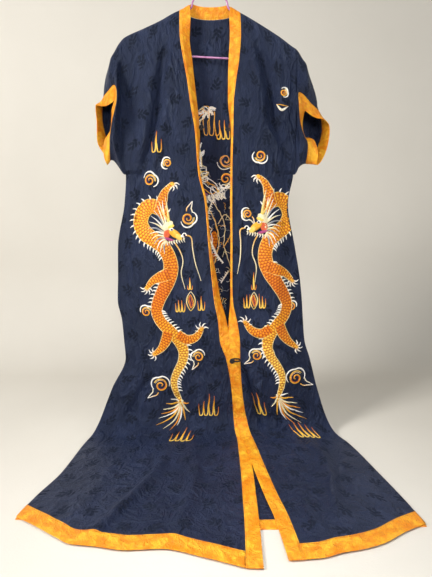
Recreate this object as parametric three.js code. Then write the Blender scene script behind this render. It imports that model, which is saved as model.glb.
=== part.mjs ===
// A kimono with contrast bindings, hung on a wire hanger, its skirt spread forward on the surface below.
// Millimetres, +Z up. The origin is where the hanger's hook bears on its rail. The front faces -Y, +X is to its right
// as it is looked at.
import * as THREE from 'three';

// ---------- driving sizes ----------
const CLOTH = 1.2;            // wall of the silk panels
const BAND = 2.2;             // wall of the folded bindings
const GAP = 0.3;              // between two pieces at a seam
const CURVED_GAP = 0.5;       // and at a seam that curves sharply
const BAND_WIDTH = 27;        // front and neck bindings
const HEM_FRONT = 36;         // hem binding of the two fronts
const HEM_BACK = 27;          // hem binding of the back
const SHOULDER = -120;        // height of the shoulder line beside the neck
const FLOOR = -1180;          // height of the surface that the skirt lies on
const BEND = 60;              // radius where the cloth turns from hanging to lying
const UNDERARM = 389;         // way down the side where the sleeve ends
const ARM_DEPTH = 16;         // half the depth of the open armhole
const RIDGE_RUN = 60;         // the cloth reaches its full depth this far below the shoulder ridge
const WIRE = 2.2;             // radius of the hanger's wire
const CORD = 1.7;             // radius of the frogs' cord

const named = (names, rows) => rows.map(row => Object.fromEntries(names.split(' ').map((name, i) => [name, row[i]])));

// ---------- tables: one row for each section ----------
// way: down the cloth from the shoulder line. side: x of the side seam. seam: x of the binding's seam. roll: degrees
// that the binding turns inwards. lift: how far the seam stands in front of the hanging line.
const FRONTS = {
  left: named('way side seam roll lift', [
    [0, -207, -73, 0, 12],
    [62, -207, -72, 30, 19],
    [122, -211, -64, 40, 25],
    [170, -213, -55, 55, 28],
    [227, -214, -47, 60, 29],
    [294, -213, -36, 74, 29],
    [389, -210, -29, 94, 30],
    [460, -215, -13, 94, 30],
    [568, -234, -4, 88, 30],
    [652, -236, 4, 68, 28],
    [706, -238, 10, 58, 27],
    [759, -228, 20, 42, 25],
    [811, -224, 25, 6, 23],
    [857, -221, 41, 0, 21],
    [940, -258, 55, 0, 16],
    [1049, -298, 63, 0, 7],
    [1100, -311, 69, 0, 4],
    [1245, -320, 69, 0, 4],
    [1340, -340, 67, 0, 4],
    [1400, -349, 66, 0, 4],
    [1530, -356, 61, 0, 4],
  ]),
  right: named('way side seam roll lift', [
    [0, 207, 73, 0, 12],
    [62, 206, 75, 5, 15],
    [122, 208, 71, 20, 20],
    [170, 209, 64, 48, 24],
    [227, 211, 58, 70, 28],
    [294, 210, 57, 90, 31],
    [389, 208, 55, 96, 33],
    [460, 196, 55, 96, 33],
    [568, 215, 56, 96, 33],
    [652, 230, 56, 94, 33],
    [706, 236, 58, 86, 33],
    [759, 240, 69, 40, 32],
    [811, 245, 76, 2, 31],
    [857, 259, 77, 0, 29],
    [940, 281, 83, 0, 23],
    [1049, 318, 100, 0, 12],
    [1100, 343, 110, 0, 8],
    [1245, 367, 126, 0, 7],
    [1340, 380, 139, 0, 4],
    [1400, 386, 148, 0, 4],
    [1530, 396, 158, 0, 4],
  ]),
};

// back: how far the middle of the back stands behind the hanging line. frontSide and backSide: the two layers' places
// at the side seam, in front of the hanging line.
const LAYERS = named('way back frontSide backSide', [
  [0, -12, 0.8, -0.8],
  [60, -13, 0.8, -0.8],
  [389, -18, 0.8, -0.8],
  [700, -15, 0.8, -0.8],
  [940, -8, 1.2, -0.6],
  [1049, -1, 2.4, 0.2],
  [1100, 0.6, 3.8, 0.6],
  [1530, 0.6, 3.8, 0.6],
]);

// The shoulder ridge drops from the neck to the tips of the hanger.
const RIDGE = named('x drop', [
  [-210, 70], [-200, 64], [-160, 47], [-120, 29], [-80, 8], [-55, 0], [0, -3],
  [55, 3], [80, 14], [107, 29], [143, 50], [172, 68], [200, 88], [210, 94],
]);

// The lower edge of each layer: across runs from the side seam to the binding's seam, on the back from left to right.
const HEMS = {
  left: named('across way', [
    [0, 1400], [0.12, 1428], [0.23, 1456], [0.3, 1472], [0.4, 1478], [0.53, 1487], [0.67, 1484], [0.84, 1503],
    [1, 1526],
  ]),
  right: named('across way', [[0, 1420], [0.19, 1441], [0.41, 1471], [0.58, 1485], [0.73, 1493], [0.87, 1504], [1, 1508]]),
  back: named('across way', [[0, 1404], [0.5, 1433], [1, 1424]]),
};

// The largest folds. deep: how far the cloth sinks (or, below 0, stands out). wide: its half width. The fold runs
// through the points (way, x).
const FOLDS = {
  left: [
    { deep: 13, wide: 12, way: [30, 103, 187, 258, 338, 379, 470], x: [-95, -107, -122, -133, -154, -172, -192] },
    { deep: -6, wide: 13, way: [50, 187, 338, 430], x: [-86, -97, -127, -150] },
    { deep: 5, wide: 8, way: [225, 280, 345], x: [-184, -180, -172] },
    { deep: 9, wide: 13, way: [880, 929, 1003, 1090], x: [-150, -169, -207, -262] },
    { deep: -5, wide: 14, way: [900, 1010, 1080], x: [-190, -236, -275] },
  ],
  right: [
    { deep: 15, wide: 12, way: [30, 85, 138, 199, 258, 297, 345, 400], x: [110, 117, 130, 145, 150, 172, 196, 200] },
    { deep: -6, wide: 14, way: [60, 199, 300], x: [98, 118, 130] },
    { deep: 5, wide: 9, way: [820, 865, 900], x: [160, 222, 252] },
    { deep: 8, wide: 9, way: [870, 924, 1014, 1075], x: [100, 110, 130, 152] },
    { deep: -4, wide: 12, way: [880, 950, 1060], x: [122, 134, 176] },
  ],
};
const FLUTE = { height: 3, length: 84, from: 120, to: 560, end: 1040 };   // shallow waves of the hanging cloth

// The sleeve mouths. turn: place round the mouth, from its top over the front. x y z: the binding's seam.
// ex ey ez: towards the binding's free edge. wide: what shows of its width, less where it is tucked at the underarm.
const MOUTHS = {
  left: named('turn x y z ex ey ez wide', [
    [0, -262, 4, -322, -270, 10, -345, 27],
    [0.05, -246, -14, -313, -252, 1, -332, 27],
    [0.1, -229, -32, -306, -233, -17, -327, 27],
    [0.15, -220, -42, -318, -224, -25, -337, 27],
    [0.2, -219, -46, -344, -230, -25, -350, 27],
    [0.27, -225, -43, -368, -238, -20, -368, 27],
    [0.33, -232, -37, -387, -241, -13, -387, 27],
    [0.39, -238, -31, -409, -245, -5, -409, 27],
    [0.44, -243, -23, -433, -256, -6, -443, 23],
    [0.5, -248, -3, -476, -261, 0, -491, 12],
    [0.56, -251, 9, -460, -265, 17, -476, 14],
    [0.62, -256, 18, -438, -271, 17, -456, 21],
    [0.7, -264, 25, -412, -276, 6, -422, 27],
    [0.78, -271, 28, -383, -279, 4, -386, 27],
    [0.86, -272, 26, -357, -280, 2, -359, 27],
    [0.94, -268, 16, -334, -276, 0, -342, 27],
  ]),
  right: named('turn x y z ex ey ez wide', [
    [0, 268, 0, -357, 277, -3, -381, 27],
    [0.05, 245, -16, -343, 250, -14, -369, 27],
    [0.1, 225, -30, -328, 226, -24, -353, 27],
    [0.15, 212, -39, -325, 213, -29, -349, 27],
    [0.19, 209, -43, -334, 219, -35, -354, 27],
    [0.24, 210, -46, -352, 229, -33, -359, 27],
    [0.3, 212, -44, -373, 227, -23, -375, 27],
    [0.36, 217, -38, -399, 227, -13, -399, 27],
    [0.41, 228, -32, -425, 237, -7, -429, 27],
    [0.45, 237, -26, -439, 255, -10, -447, 27],
    [0.49, 238, -18, -464, 262, -13, -471, 27],
    [0.54, 238, -2, -483, 263, -6, -485, 27],
    [0.61, 251, 14, -473, 276, 9, -474, 27],
    [0.69, 265, 22, -452, 288, 12, -454, 27],
    [0.77, 276, 27, -430, 294, 9, -433, 27],
    [0.85, 283, 28, -405, 297, 6, -408, 27],
    [0.93, 280, 20, -378, 292, 2, -390, 27],
  ]),
};

// Rows of the panels: ways below the shoulder ridge, close together over the ridge and round the bend.
const ROWS = [
  0, 0.5, 2, 6, 14, 28, 50, 80, 120, 165, 215, 270, 330, 362, 389, 412, 445, 490, 560, 630, 700, 760, 811, 860, 910, 960,
  1000, 1023, 1047, 1071, 1095, 1140, 1210, 1280, 1340, 1400,
];
const LAST_ROW = ROWS[ROWS.length - 1];
const SPREAD_FROM = 1140;     // below this way the rows stretch to meet the hem

// ---------- curves through the tables ----------
const clamp = (value, low, high) => Math.min(Math.max(value, low), high);
const mix = (a, b, share) => a + (b - a) * share;
const step = (from, to, value) => {
  const share = clamp((value - from) / (to - from), 0, 1);
  return share * share * (3 - 2 * share);
};

// A smooth curve through the points (at, values), with no overshoot: a cubic whose slope is nil at each turn.
function through(at, values, t) {
  const last = at.length - 1;
  if (t <= at[0]) return values[0];
  if (t >= at[last]) return values[last];
  let i = 0;
  while (t > at[i + 1]) i += 1;
  const grade = k => (values[k + 1] - values[k]) / (at[k + 1] - at[k]);
  const slope = k => {
    if (k === 0) return grade(0);
    if (k === last) return grade(last - 1);
    const before = grade(k - 1);
    const after = grade(k);
    return before * after <= 0 ? 0 : (2 * before * after) / (before + after);
  };
  const width = at[i + 1] - at[i];
  const u = (t - at[i]) / width;
  const start = values[i] * (1 - u) ** 2 * (1 + 2 * u) + slope(i) * width * u * (1 - u) ** 2;
  const end = values[i + 1] * u ** 2 * (3 - 2 * u) - slope(i + 1) * width * u ** 2 * (1 - u);
  return start + end;
}

const columns = new Map();
function read(table, key, name, t) {
  const id = `${key}>${name}`;
  if (!columns.has(table)) columns.set(table, {});
  const kept = columns.get(table);
  kept[id] ??= [table.map(row => row[key]), table.map(row => row[name])];
  return through(kept[id][0], kept[id][1], t);
}

// ---------- the cloth's surface ----------
// The hanging line goes straight down, round the bend and forward along the floor. lift stands off it, to the front
// and then upwards.
const HANG = SHOULDER - FLOOR - BEND;
const TURN = BEND * Math.PI / 2;
function place(x, way, lift) {
  if (way < HANG) return new THREE.Vector3(x, -lift, SHOULDER - way);
  const angle = Math.min((way - HANG) / BEND, Math.PI / 2);
  const out = Math.max(way - HANG - TURN, 0);
  const radius = BEND - lift;
  return new THREE.Vector3(x, radius * Math.cos(angle) - BEND - out, FLOOR + BEND - radius * Math.sin(angle));
}

// Rounds the cloth over the wire: nil on the ridge, 1 from RIDGE_RUN below it.
const round = below => (1 - (1 - clamp(below / RIDGE_RUN, 0, 1)) ** 2) ** 0.35;

function folds(list, x, way) {
  let sum = 0;
  for (const fold of list) {
    const first = fold.way[0];
    const last = fold.way[fold.way.length - 1];
    if (way <= first || way >= last) continue;
    const centre = through(fold.way, fold.x, way);
    const lean = through(fold.way, fold.x, way + 1) - centre;
    const off = (x - centre) / Math.hypot(1, lean) / fold.wide;
    const along = (way - first) / (last - first);
    sum -= fold.deep * Math.exp(-off * off) * step(0, 0.25, along) * step(1, 0.75, along);
  }
  return sum;
}

function flutes(x, way, share) {
  const grown = step(FLUTE.from, FLUTE.to, way) * step(FLUTE.end, FLUTE.to, way);
  const still = step(0, 0.15, share) * step(1, 0.85, share);
  return FLUTE.height * grown * still * Math.sin((2 * Math.PI * x) / FLUTE.length + way / 260);
}

// The larger of two lengths, rounded where they cross, so that a fold of the front stays off the back.
const FRONT_CLEAR = 0.9;
const atLeast = (value, least) => (value + least + Math.hypot(value - least, 1)) / 2;

// The way down the cloth of a row that lies below the shoulder ridge at x, spread to meet the panel's end. Rows past
// the last one are in the hem binding.
function wayOf(below, x, end) {
  const drop = read(RIDGE, 'x', 'drop', x);
  const way = below + drop * (1 - step(0, 700, below));
  if (way <= SPREAD_FROM) return way;
  if (below > LAST_ROW) return end + below - LAST_ROW;
  return SPREAD_FROM + ((way - SPREAD_FROM) * (end - SPREAD_FROM)) / (LAST_ROW - SPREAD_FROM);
}

const armhole = way => ARM_DEPTH * round(UNDERARM - way);
const sideLift = (way, layer, sign) => sign * Math.max(armhole(way), 2 * step(450, 400, way)) * step(410, 380, way)
  + read(LAYERS, 'way', layer, way);

// front: across 0 at the side seam, 1 at the binding's seam
function front(hand, across, below, end) {
  const table = FRONTS[hand];
  const sign = hand === 'left' ? -1 : 1;
  const top = mix(table[0].side, table[0].seam, across);
  const way = wayOf(below, top, end);
  const side = read(table, 'way', 'side', way) - sign * GAP / 2;
  const seam = read(table, 'way', 'seam', way) + sign * GAP / 2;
  const x = mix(side, seam, across);
  const belly = step(0, 0.5, across);
  const lift = mix(sideLift(way, 'frontSide', 1), read(table, 'way', 'lift', way), belly);
  const wave = folds(FOLDS[hand], x, way) + flutes(x, way, across);
  const clear = atLeast(lift + wave * step(4, 60, below), read(LAYERS, 'way', 'back', way) + CLOTH + FRONT_CLEAR);
  return place(x, way, GAP / 2 + round(below) * mix(lift, clear, belly));
}

const LEFT_TOP = FRONTS.left[0];
const RIGHT_TOP = FRONTS.right[0];
const NECK_DROP = 24;         // the back neck dips this far below the ridge
const neckDip = x => NECK_DROP * Math.max(1 - (x / RIGHT_TOP.seam) ** 2, 0) ** 0.9;

// back: across 0 at the left side seam, 1 at the right
function back(across, below, end) {
  const topX = mix(LEFT_TOP.side, RIGHT_TOP.side, across);
  const dip = neckDip(topX);
  const deeper = dip + below * (1 - dip / LAST_ROW);
  const way = wayOf(deeper, topX, end);
  const x = mix(read(FRONTS.left, 'way', 'side', way) + GAP / 2, read(FRONTS.right, 'way', 'side', way) - GAP / 2, across);
  const edge = Math.min(across, 1 - across);
  const lift = mix(sideLift(way, 'backSide', -1), read(LAYERS, 'way', 'back', way), step(0, 0.3, edge));
  const wave = 0.6 * flutes(x + 30, way, edge * 2);
  return place(x, way, round(deeper) * (lift + wave) - (way < HANG ? GAP / 2 : 0));
}

// ---------- walls ----------
// Gives a sheet its thickness. point(u, v) is the middle of the wall, u across and v along, both 0 to 1. The outside
// is on the side of du x dv times facing. A ring closes on itself in u.
const NUDGE = 1e-4;
function normalAt(point, u, v, facing, ring) {
  const u0 = ring ? u - NUDGE : Math.max(u - NUDGE, 0);
  const u1 = ring ? u + NUDGE : Math.min(u + NUDGE, 1);
  const alongU = point(u1, v).sub(point(u0, v));
  const alongV = point(u, Math.min(v + NUDGE, 1)).sub(point(u, Math.max(v - NUDGE, 0)));
  return alongU.cross(alongV).normalize().multiplyScalar(facing);
}

function wall({ point, us, vs, thick, facing = 1, ring = false }) {
  const positions = [];
  const wide = us.length;
  const high = vs.length;
  for (const face of [0.5, -0.5]) {
    for (const v of vs) {
      for (const u of us) {
        const offset = normalAt(point, u, v, facing, ring).multiplyScalar(face * thick);
        positions.push(...point(u, v).add(offset).toArray());
      }
    }
  }
  const index = [];
  const at = (layer, j, i) => layer * wide * high + j * wide + (i % wide);
  const quad = (a, b, c, d, turned) => index.push(...(turned ? [a, c, b, a, d, c] : [a, b, c, a, c, d]));
  const spans = ring ? wide : wide - 1;
  for (let i = 0; i < spans; i += 1) {
    for (let j = 0; j < high - 1; j += 1) {
      quad(at(0, j, i), at(0, j, i + 1), at(0, j + 1, i + 1), at(0, j + 1, i), facing < 0);
      quad(at(1, j, i), at(1, j, i + 1), at(1, j + 1, i + 1), at(1, j + 1, i), facing > 0);
    }
    quad(at(0, 0, i), at(0, 0, i + 1), at(1, 0, i + 1), at(1, 0, i), facing > 0);
    quad(at(0, high - 1, i), at(0, high - 1, i + 1), at(1, high - 1, i + 1), at(1, high - 1, i), facing < 0);
  }
  for (let j = 0; !ring && j < high - 1; j += 1) {
    quad(at(0, j, 0), at(0, j + 1, 0), at(1, j + 1, 0), at(1, j, 0), facing < 0);
    quad(at(0, j, wide - 1), at(0, j + 1, wide - 1), at(1, j + 1, wide - 1), at(1, j, wide - 1), facing > 0);
  }
  const geometry = new THREE.BufferGeometry();
  geometry.setAttribute('position', new THREE.Float32BufferAttribute(positions, 3));
  geometry.setIndex(index);
  return geometry;
}

const evenly = count => Array.from({ length: count + 1 }, (_, i) => i / count);
const around = count => Array.from({ length: count }, (_, i) => i / count);

// ---------- materials ----------
const material = (color, roughness, metalness = 0) => new THREE.MeshStandardMaterial({
  color, roughness, metalness, side: THREE.DoubleSide,
});
const navySilk = () => material('#30384c', 0.55);
const orangeSatin = () => material('#f6a01f', 0.45);
const blackBraid = () => material('#14151a', 0.7);
const mauveWire = () => material('#b981ad', 0.35);

const kimono = new THREE.Group();
function add(name, geometry, look) {
  const mesh = new THREE.Mesh(geometry, look);
  mesh.name = name;
  kimono.add(mesh);
}

// ---------- body panels ----------
const FRONT_COLUMNS = 15;
const NECK_COLUMNS = 10;
const SHOULDER_COLUMNS = 5;
const rowShares = ROWS.map(below => below / LAST_ROW);
const backWidth = RIGHT_TOP.side - LEFT_TOP.side;
const neckStart = (LEFT_TOP.seam - LEFT_TOP.side) / backWidth;
const neckEnd = (RIGHT_TOP.seam - LEFT_TOP.side) / backWidth;
const backShares = [
  ...evenly(SHOULDER_COLUMNS).slice(0, -1).map(u => u * neckStart),
  ...evenly(NECK_COLUMNS).map(u => mix(neckStart, neckEnd, u)),
  ...evenly(SHOULDER_COLUMNS).slice(1).map(u => mix(neckEnd, 1, u)),
];

const hemEnd = (hand, across, short) => read(HEMS[hand], 'across', 'way', across) - short;
const frontPoint = hand => (across, share) => front(hand, across, share * LAST_ROW, hemEnd(hand, across, HEM_FRONT));
const backPoint = (across, share) => back(across, share * LAST_ROW, hemEnd('back', across, HEM_BACK));

for (const hand of ['left', 'right']) {
  add(`front_${hand}`, wall({
    point: frontPoint(hand),
    us: evenly(FRONT_COLUMNS),
    vs: rowShares,
    thick: CLOTH,
    facing: hand === 'left' ? -1 : 1,
  }), navySilk());
}
add('back', wall({ point: backPoint, us: backShares, vs: rowShares, thick: CLOTH, facing: 1 }), navySilk());

// ---------- bindings down the fronts ----------
// The binding leaves its seam along the panel, then turns inwards by roll over its first quarter.
const TURN_SHARE = 0.25;
function frontBand(hand) {
  const table = FRONTS[hand];
  const sign = hand === 'left' ? 1 : -1;
  return (u, v) => {
    const below = v * (LAST_ROW + HEM_FRONT);
    const end = hemEnd(hand, 1, HEM_FRONT);
    const point = (across, row) => front(hand, across, row, end);
    const seam = point(1, below);
    const across = seam.clone().sub(point(1 - NUDGE, below)).normalize();
    const along = point(1, below + 0.05).sub(point(1, Math.max(below - 0.05, 0))).normalize();
    across.addScaledVector(along, -across.dot(along)).normalize();
    const inward = across.clone().cross(along).multiplyScalar(sign).normalize();
    const way = wayOf(below, table[0].seam, end);
    const roll = THREE.MathUtils.degToRad(read(table, 'way', 'roll', way)) * step(0, 30, below);
    const first = Math.min(u, TURN_SHARE);
    const rest = Math.max(u - TURN_SHARE, 0);
    const bend = roll * first / TURN_SHARE;
    const radius = roll > 1e-3 ? TURN_SHARE / roll : 0;
    const flat = (roll > 1e-3 ? radius * Math.sin(bend) : first) + rest * Math.cos(roll);
    const deep = (roll > 1e-3 ? radius * (1 - Math.cos(bend)) : 0) + rest * Math.sin(roll);
    return seam.addScaledVector(across, GAP + BAND_WIDTH * flat).addScaledVector(inward, BAND_WIDTH * deep);
  };
}
const BAND_STRIPS = [0, 0.125, 0.25, 0.6, 1];
const bandShares = [...ROWS, LAST_ROW + HEM_FRONT / 2, LAST_ROW + HEM_FRONT].map(row => row / (LAST_ROW + HEM_FRONT));
for (const hand of ['left', 'right']) {
  add(`front_band_${hand}`, wall({
    point: frontBand(hand),
    us: BAND_STRIPS,
    vs: bandShares,
    thick: BAND,
    facing: hand === 'left' ? -1 : 1,
  }), orangeSatin());
}

// ---------- hem bindings ----------
const HEM_STRIPS = 2;
const hemPoint = (surface, hand, width, bottom) => (across, share) => {
  const lifted = surface(across, LAST_ROW + mix(GAP, width, share), hemEnd(hand, across, width));
  lifted.z = Math.max(lifted.z, FLOOR + bottom + BAND / 2);
  return lifted;
};
const HEM_OVER = BAND + GAP;  // the fronts' hem binding lies on the back's
for (const hand of ['left', 'right']) {
  add(`hem_band_${hand}`, wall({
    point: hemPoint((u, row, end) => front(hand, u, row, end), hand, HEM_FRONT, HEM_OVER),
    us: evenly(FRONT_COLUMNS),
    vs: evenly(HEM_STRIPS),
    thick: BAND,
    facing: hand === 'left' ? -1 : 1,
  }), orangeSatin());
}
add('hem_band_back', wall({
  point: hemPoint(back, 'back', HEM_BACK, 0),
  us: backShares,
  vs: evenly(HEM_STRIPS),
  thick: BAND,
  facing: 1,
}), orangeSatin());

// ---------- neck binding ----------
// It leaves the back panel's neck edge in line with the cloth, then stands up behind the neck and lies along the
// shoulders at its ends.
const NECK_LEAN = 0.25;
const NECK_SET = 0.45;        // share of the width over which it turns to its own direction
function neckPoint(u, v) {
  const end = hemEnd('back', 0.5, 0);
  const across = mix(neckStart, neckEnd, u);
  const seam = back(across, 0, end);
  const along = back(across + NUDGE, 0, end).sub(back(across - NUDGE, 0, end));
  const down = back(across, 0.05, end).sub(seam);
  const flush = down.addScaledVector(along, -down.dot(along) / along.lengthSq()).normalize().negate();
  const spot = mix(-1, 1, u);
  const upright = new THREE.Vector3(0, -NECK_LEAN, 1);
  const flat = new THREE.Vector3(-0.87 * Math.sign(spot), 0, 0.5);
  const wanted = upright.lerp(flat, Math.abs(spot) ** 3).normalize();
  const direction = flush.lerp(wanted, Math.max(step(0, NECK_SET, v), spot ** 6)).normalize();
  return seam.addScaledVector(direction, CURVED_GAP + BAND_WIDTH * v);
}
add('neck_band', wall({
  point: neckPoint,
  us: evenly(NECK_COLUMNS),
  vs: [0, 0.12, 0.3, 0.6, 1],
  thick: BAND,
  facing: -1,
}), orangeSatin());

// ---------- sleeves and their bindings ----------
const SLEEVE_ROUND = 30;
const SLEEVE_ROWS = [0, 0.08, 0.2, 0.36, 0.54, 0.72, 0.88, 1];
const PULL = 0.75;            // how strongly the sleeve leaves the armhole in its own direction
const MOUTH_PULL = 0.9;       // and how strongly it comes to its mouth
const LEAST_REACH = 62;       // so that a lip near the body still rolls over in a round edge

function loopThrough(table, name, turn) {
  const wrapped = turn - Math.floor(turn);
  const before = table.slice(-2).map(row => ({ ...row, turn: row.turn - 1 }));
  const after = table.slice(0, 2).map(row => ({ ...row, turn: row.turn + 1 }));
  const rows = [...before, ...table, ...after];
  let i = 1;
  while (wrapped > rows[i + 1].turn) i += 1;
  const at = k => rows[k].turn;
  const value = k => rows[k][name];
  const slope = k => (value(k + 1) - value(k - 1)) / (at(k + 1) - at(k - 1));
  const width = at(i + 1) - at(i);
  const u = (wrapped - at(i)) / width;
  return value(i) * (1 - u) ** 2 * (1 + 2 * u) + slope(i) * width * u * (1 - u) ** 2
    + value(i + 1) * u ** 2 * (3 - 2 * u) - slope(i + 1) * width * u ** 2 * (1 - u);
}

// The armhole: turn 0 on the ridge, over the front to 0.5 at the underarm, and back up behind.
function armRing(hand, turn) {
  const sign = hand === 'left' ? -1 : 1;
  const table = FRONTS[hand];
  const tip = read(RIDGE, 'x', 'drop', table[0].side);
  const depth = (UNDERARM - tip) * (1 - Math.cos(2 * Math.PI * turn)) / 2;
  const way = tip + depth;
  const lift = round(depth) * armhole(way) * (turn < 0.5 ? 1 : -1);
  return place(read(table, 'way', 'side', way) + sign * GAP, way, lift);
}

const mouthRing = (hand, turn, names) => new THREE.Vector3(...names.map(name => loopThrough(MOUTHS[hand], name, turn)));

// The direction in which the binding leaves its seam, squared up to the seam by SQUARE.
const SQUARE = 0.85;
function outward(hand, turn) {
  const seam = ['x', 'y', 'z'];
  const out = mouthRing(hand, turn, ['ex', 'ey', 'ez']).sub(mouthRing(hand, turn, seam)).normalize();
  const along = mouthRing(hand, turn + NUDGE, seam).sub(mouthRing(hand, turn - NUDGE, seam)).normalize();
  return out.addScaledVector(along, -SQUARE * out.dot(along)).normalize();
}
function sleeve(hand) {
  const sign = hand === 'left' ? -1 : 1;
  return (turn, share) => {
    const start = armRing(hand, turn);
    const end = mouthRing(hand, turn, ['x', 'y', 'z']);
    const out = outward(hand, turn);
    const reach = start.distanceTo(end);
    const away = new THREE.Vector3(0.75 * sign, 0, -0.66).multiplyScalar(reach * PULL);
    const arrive = Math.max(reach, LEAST_REACH) * MOUTH_PULL;
    const u = share;
    return start.multiplyScalar((1 - u) ** 2 * (1 + 2 * u))
      .addScaledVector(away, u * (1 - u) ** 2)
      .addScaledVector(end, u ** 2 * (3 - 2 * u))
      .addScaledVector(out, -arrive * u ** 2 * (1 - u));
  };
}
function cuff(hand) {
  return (turn, share) => {
    const wide = loopThrough(MOUTHS[hand], 'wide', turn);
    return mouthRing(hand, turn, ['x', 'y', 'z']).addScaledVector(outward(hand, turn), CURVED_GAP + wide * share);
  };
}
for (const hand of ['left', 'right']) {
  const facing = hand === 'left' ? 1 : -1;
  const us = around(SLEEVE_ROUND);
  add(`sleeve_${hand}`, wall({ point: sleeve(hand), us, vs: SLEEVE_ROWS, thick: CLOTH, facing, ring: true }), navySilk());
  add(`cuff_band_${hand}`, wall({ point: cuff(hand), us, vs: evenly(2), thick: BAND, facing, ring: true }), orangeSatin());
}

// ---------- hanger ----------
function tube(points, radius, steps, quarters = 5) {
  const curve = new THREE.CatmullRomCurve3(points.map(p => new THREE.Vector3(...p)), false, 'centripetal');
  const section = new THREE.Shape();
  section.absarc(0, 0, radius, 0, 2 * Math.PI);
  return new THREE.ExtrudeGeometry(section, { steps, extrudePath: curve, curveSegments: quarters, bevelEnabled: false });
}

const ridgeHeight = x => SHOULDER - read(RIDGE, 'x', 'drop', x);
const UNDER_CLOTH = 4.5;      // wire's centre below the shoulder ridge
const UNDER_BAND = 6.2;       // and below the bindings beside the neck
const HOOK = 19;              // radius of the hook's bend
const hookTop = WIRE;         // its underside bears on the rail at the origin
const hookCentre = hookTop - HOOK;
const hookBend = [200, 165, 130, 90, 50, 15, -20, -50].map(degrees => {
  const angle = THREE.MathUtils.degToRad(degrees);
  return [HOOK * Math.cos(angle), 0, hookCentre + HOOK * Math.sin(angle)];
});
const NECK_TOP = -52;         // the shank runs straight from here
const NECK_END = -74;         // to here, where the arms start
add('hanger_hook', tube([...hookBend, [3, 0, -43], [0, 0, NECK_TOP], [0, 0, NECK_END]], WIRE, 32), mauveWire());

const ARM_TIP = 200.5;        // how far out the arms' bends reach
const BAR_START = 28;         // the bar begins this far inside the tips
const barSag = x => -231.5 - 0.052 * x;   // the bar hangs level with the arms' tilt
for (const hand of ['left', 'right']) {
  const sign = hand === 'left' ? -1 : 1;
  const below = (x, depth) => [sign * x, 0, ridgeHeight(sign * x) - depth];
  const barAt = x => [x, 0, barSag(x)];
  const points = [
    [sign * GAP, 0, NECK_END - WIRE - GAP],
    [sign * 7, 0, NECK_END - WIRE - 3 * GAP],
    [sign * 20, 0, -82],
    [sign * 34, 0, -92],
    [sign * 41, 0, -104],
    [sign * 44.5, 0, -117],
    ...[58, 74].map(x => below(x, UNDER_BAND)),
    ...[90, 110, 130, 150, 170, 188].map(x => below(x, UNDER_CLOTH)),
    below(197, UNDER_CLOTH + 0.6),
    below(ARM_TIP, 12),
    [sign * (ARM_TIP - 4), 0, mix(ridgeHeight(sign * ARM_TIP), barSag(sign * ARM_TIP), 0.8)],
    ...[14, 20, BAR_START].map(inset => barAt(sign * (ARM_TIP - inset))),
  ];
  add(`hanger_arm_${hand}`, tube(points, WIRE, 28), mauveWire());
}
const BAR_HALF = ARM_TIP - BAR_START - GAP;
add('hanger_bar', tube([-BAR_HALF, 0, BAR_HALF].map(x => [x, 0, barSag(x)]), WIRE, 8), mauveWire());

// ---------- frogs ----------
// Each frog is a ball knot on a short cord and a loop of cord, sewn to the bindings' outsides.
const KNOT = 6;
const FLAT = 0.85;            // the knot's depth as a share of its width
function ball(centre) {
  const geometry = new THREE.SphereGeometry(KNOT, 12, 8);
  geometry.scale(1, FLAT, 1);
  geometry.translate(...centre);
  return geometry;
}
function loop(centre, wide, high) {
  const outline = new THREE.Shape();
  outline.absellipse(0, 0, wide, high, 0, 2 * Math.PI);
  const hole = new THREE.Path();
  hole.absellipse(0, 0, wide - 2 * CORD, high - 2 * CORD, 0, 2 * Math.PI, true);
  outline.holes.push(hole);
  const geometry = new THREE.ExtrudeGeometry(outline, { depth: 2 * CORD, bevelEnabled: false, curveSegments: 12 });
  geometry.translate(0, 0, -CORD);
  geometry.rotateX(Math.PI / 2);
  geometry.translate(...centre);
  return geometry;
}

const bandAt = (hand, u, below) => frontBand(hand)(u, below / (LAST_ROW + HEM_FRONT));
const WAIST = 856;            // the closed frog's place below the shoulder ridge
const WAIST_LOOP = [14, 5.2]; // its loop's half length and half height
const waistSeam = bandAt('right', 0, WAIST);
const waistFree = bandAt('right', 1, WAIST);
const waistFront = Math.min(waistSeam.y, waistFree.y) - BAND / 2 - GAP;
add('waist_loop', loop([mix(waistFree.x, waistSeam.x, 0.56), waistFront - CORD, waistSeam.z], ...WAIST_LOOP), blackBraid());
add('waist_knot', ball([waistFree.x + KNOT, waistFront - 2 * CORD - GAP - KNOT * FLAT, waistFree.z]), blackBraid());

const CHEST = 277;            // the open frog's place: its knot on one binding, its loop on the other
const CHEST_LOOP = [7, 4.6];
const chestClear = BAND / 2 + GAP;
const chestLeft = bandAt('left', 0.75, CHEST);
const chestRight = bandAt('right', 0.75, CHEST);
add('chest_knot', ball([chestLeft.x + chestClear + KNOT, chestLeft.y, chestLeft.z]), blackBraid());
add('chest_loop', loop([chestRight.x - chestClear - CHEST_LOOP[0], chestRight.y, chestRight.z], ...CHEST_LOOP), blackBraid());

export default kimono;
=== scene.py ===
# %% [markdown]
# # A silk robe on a wire hanger
#
# This lesson dresses a plain robe in its real cloth: damask silk panels, satin bindings, braided fastenings
# and raised embroidery. Every panel is one function of two parameters, worked out with numpy as a whole grid
# at a time, and everything that lies on a panel is worked out from the same function, moved out a little.

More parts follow.
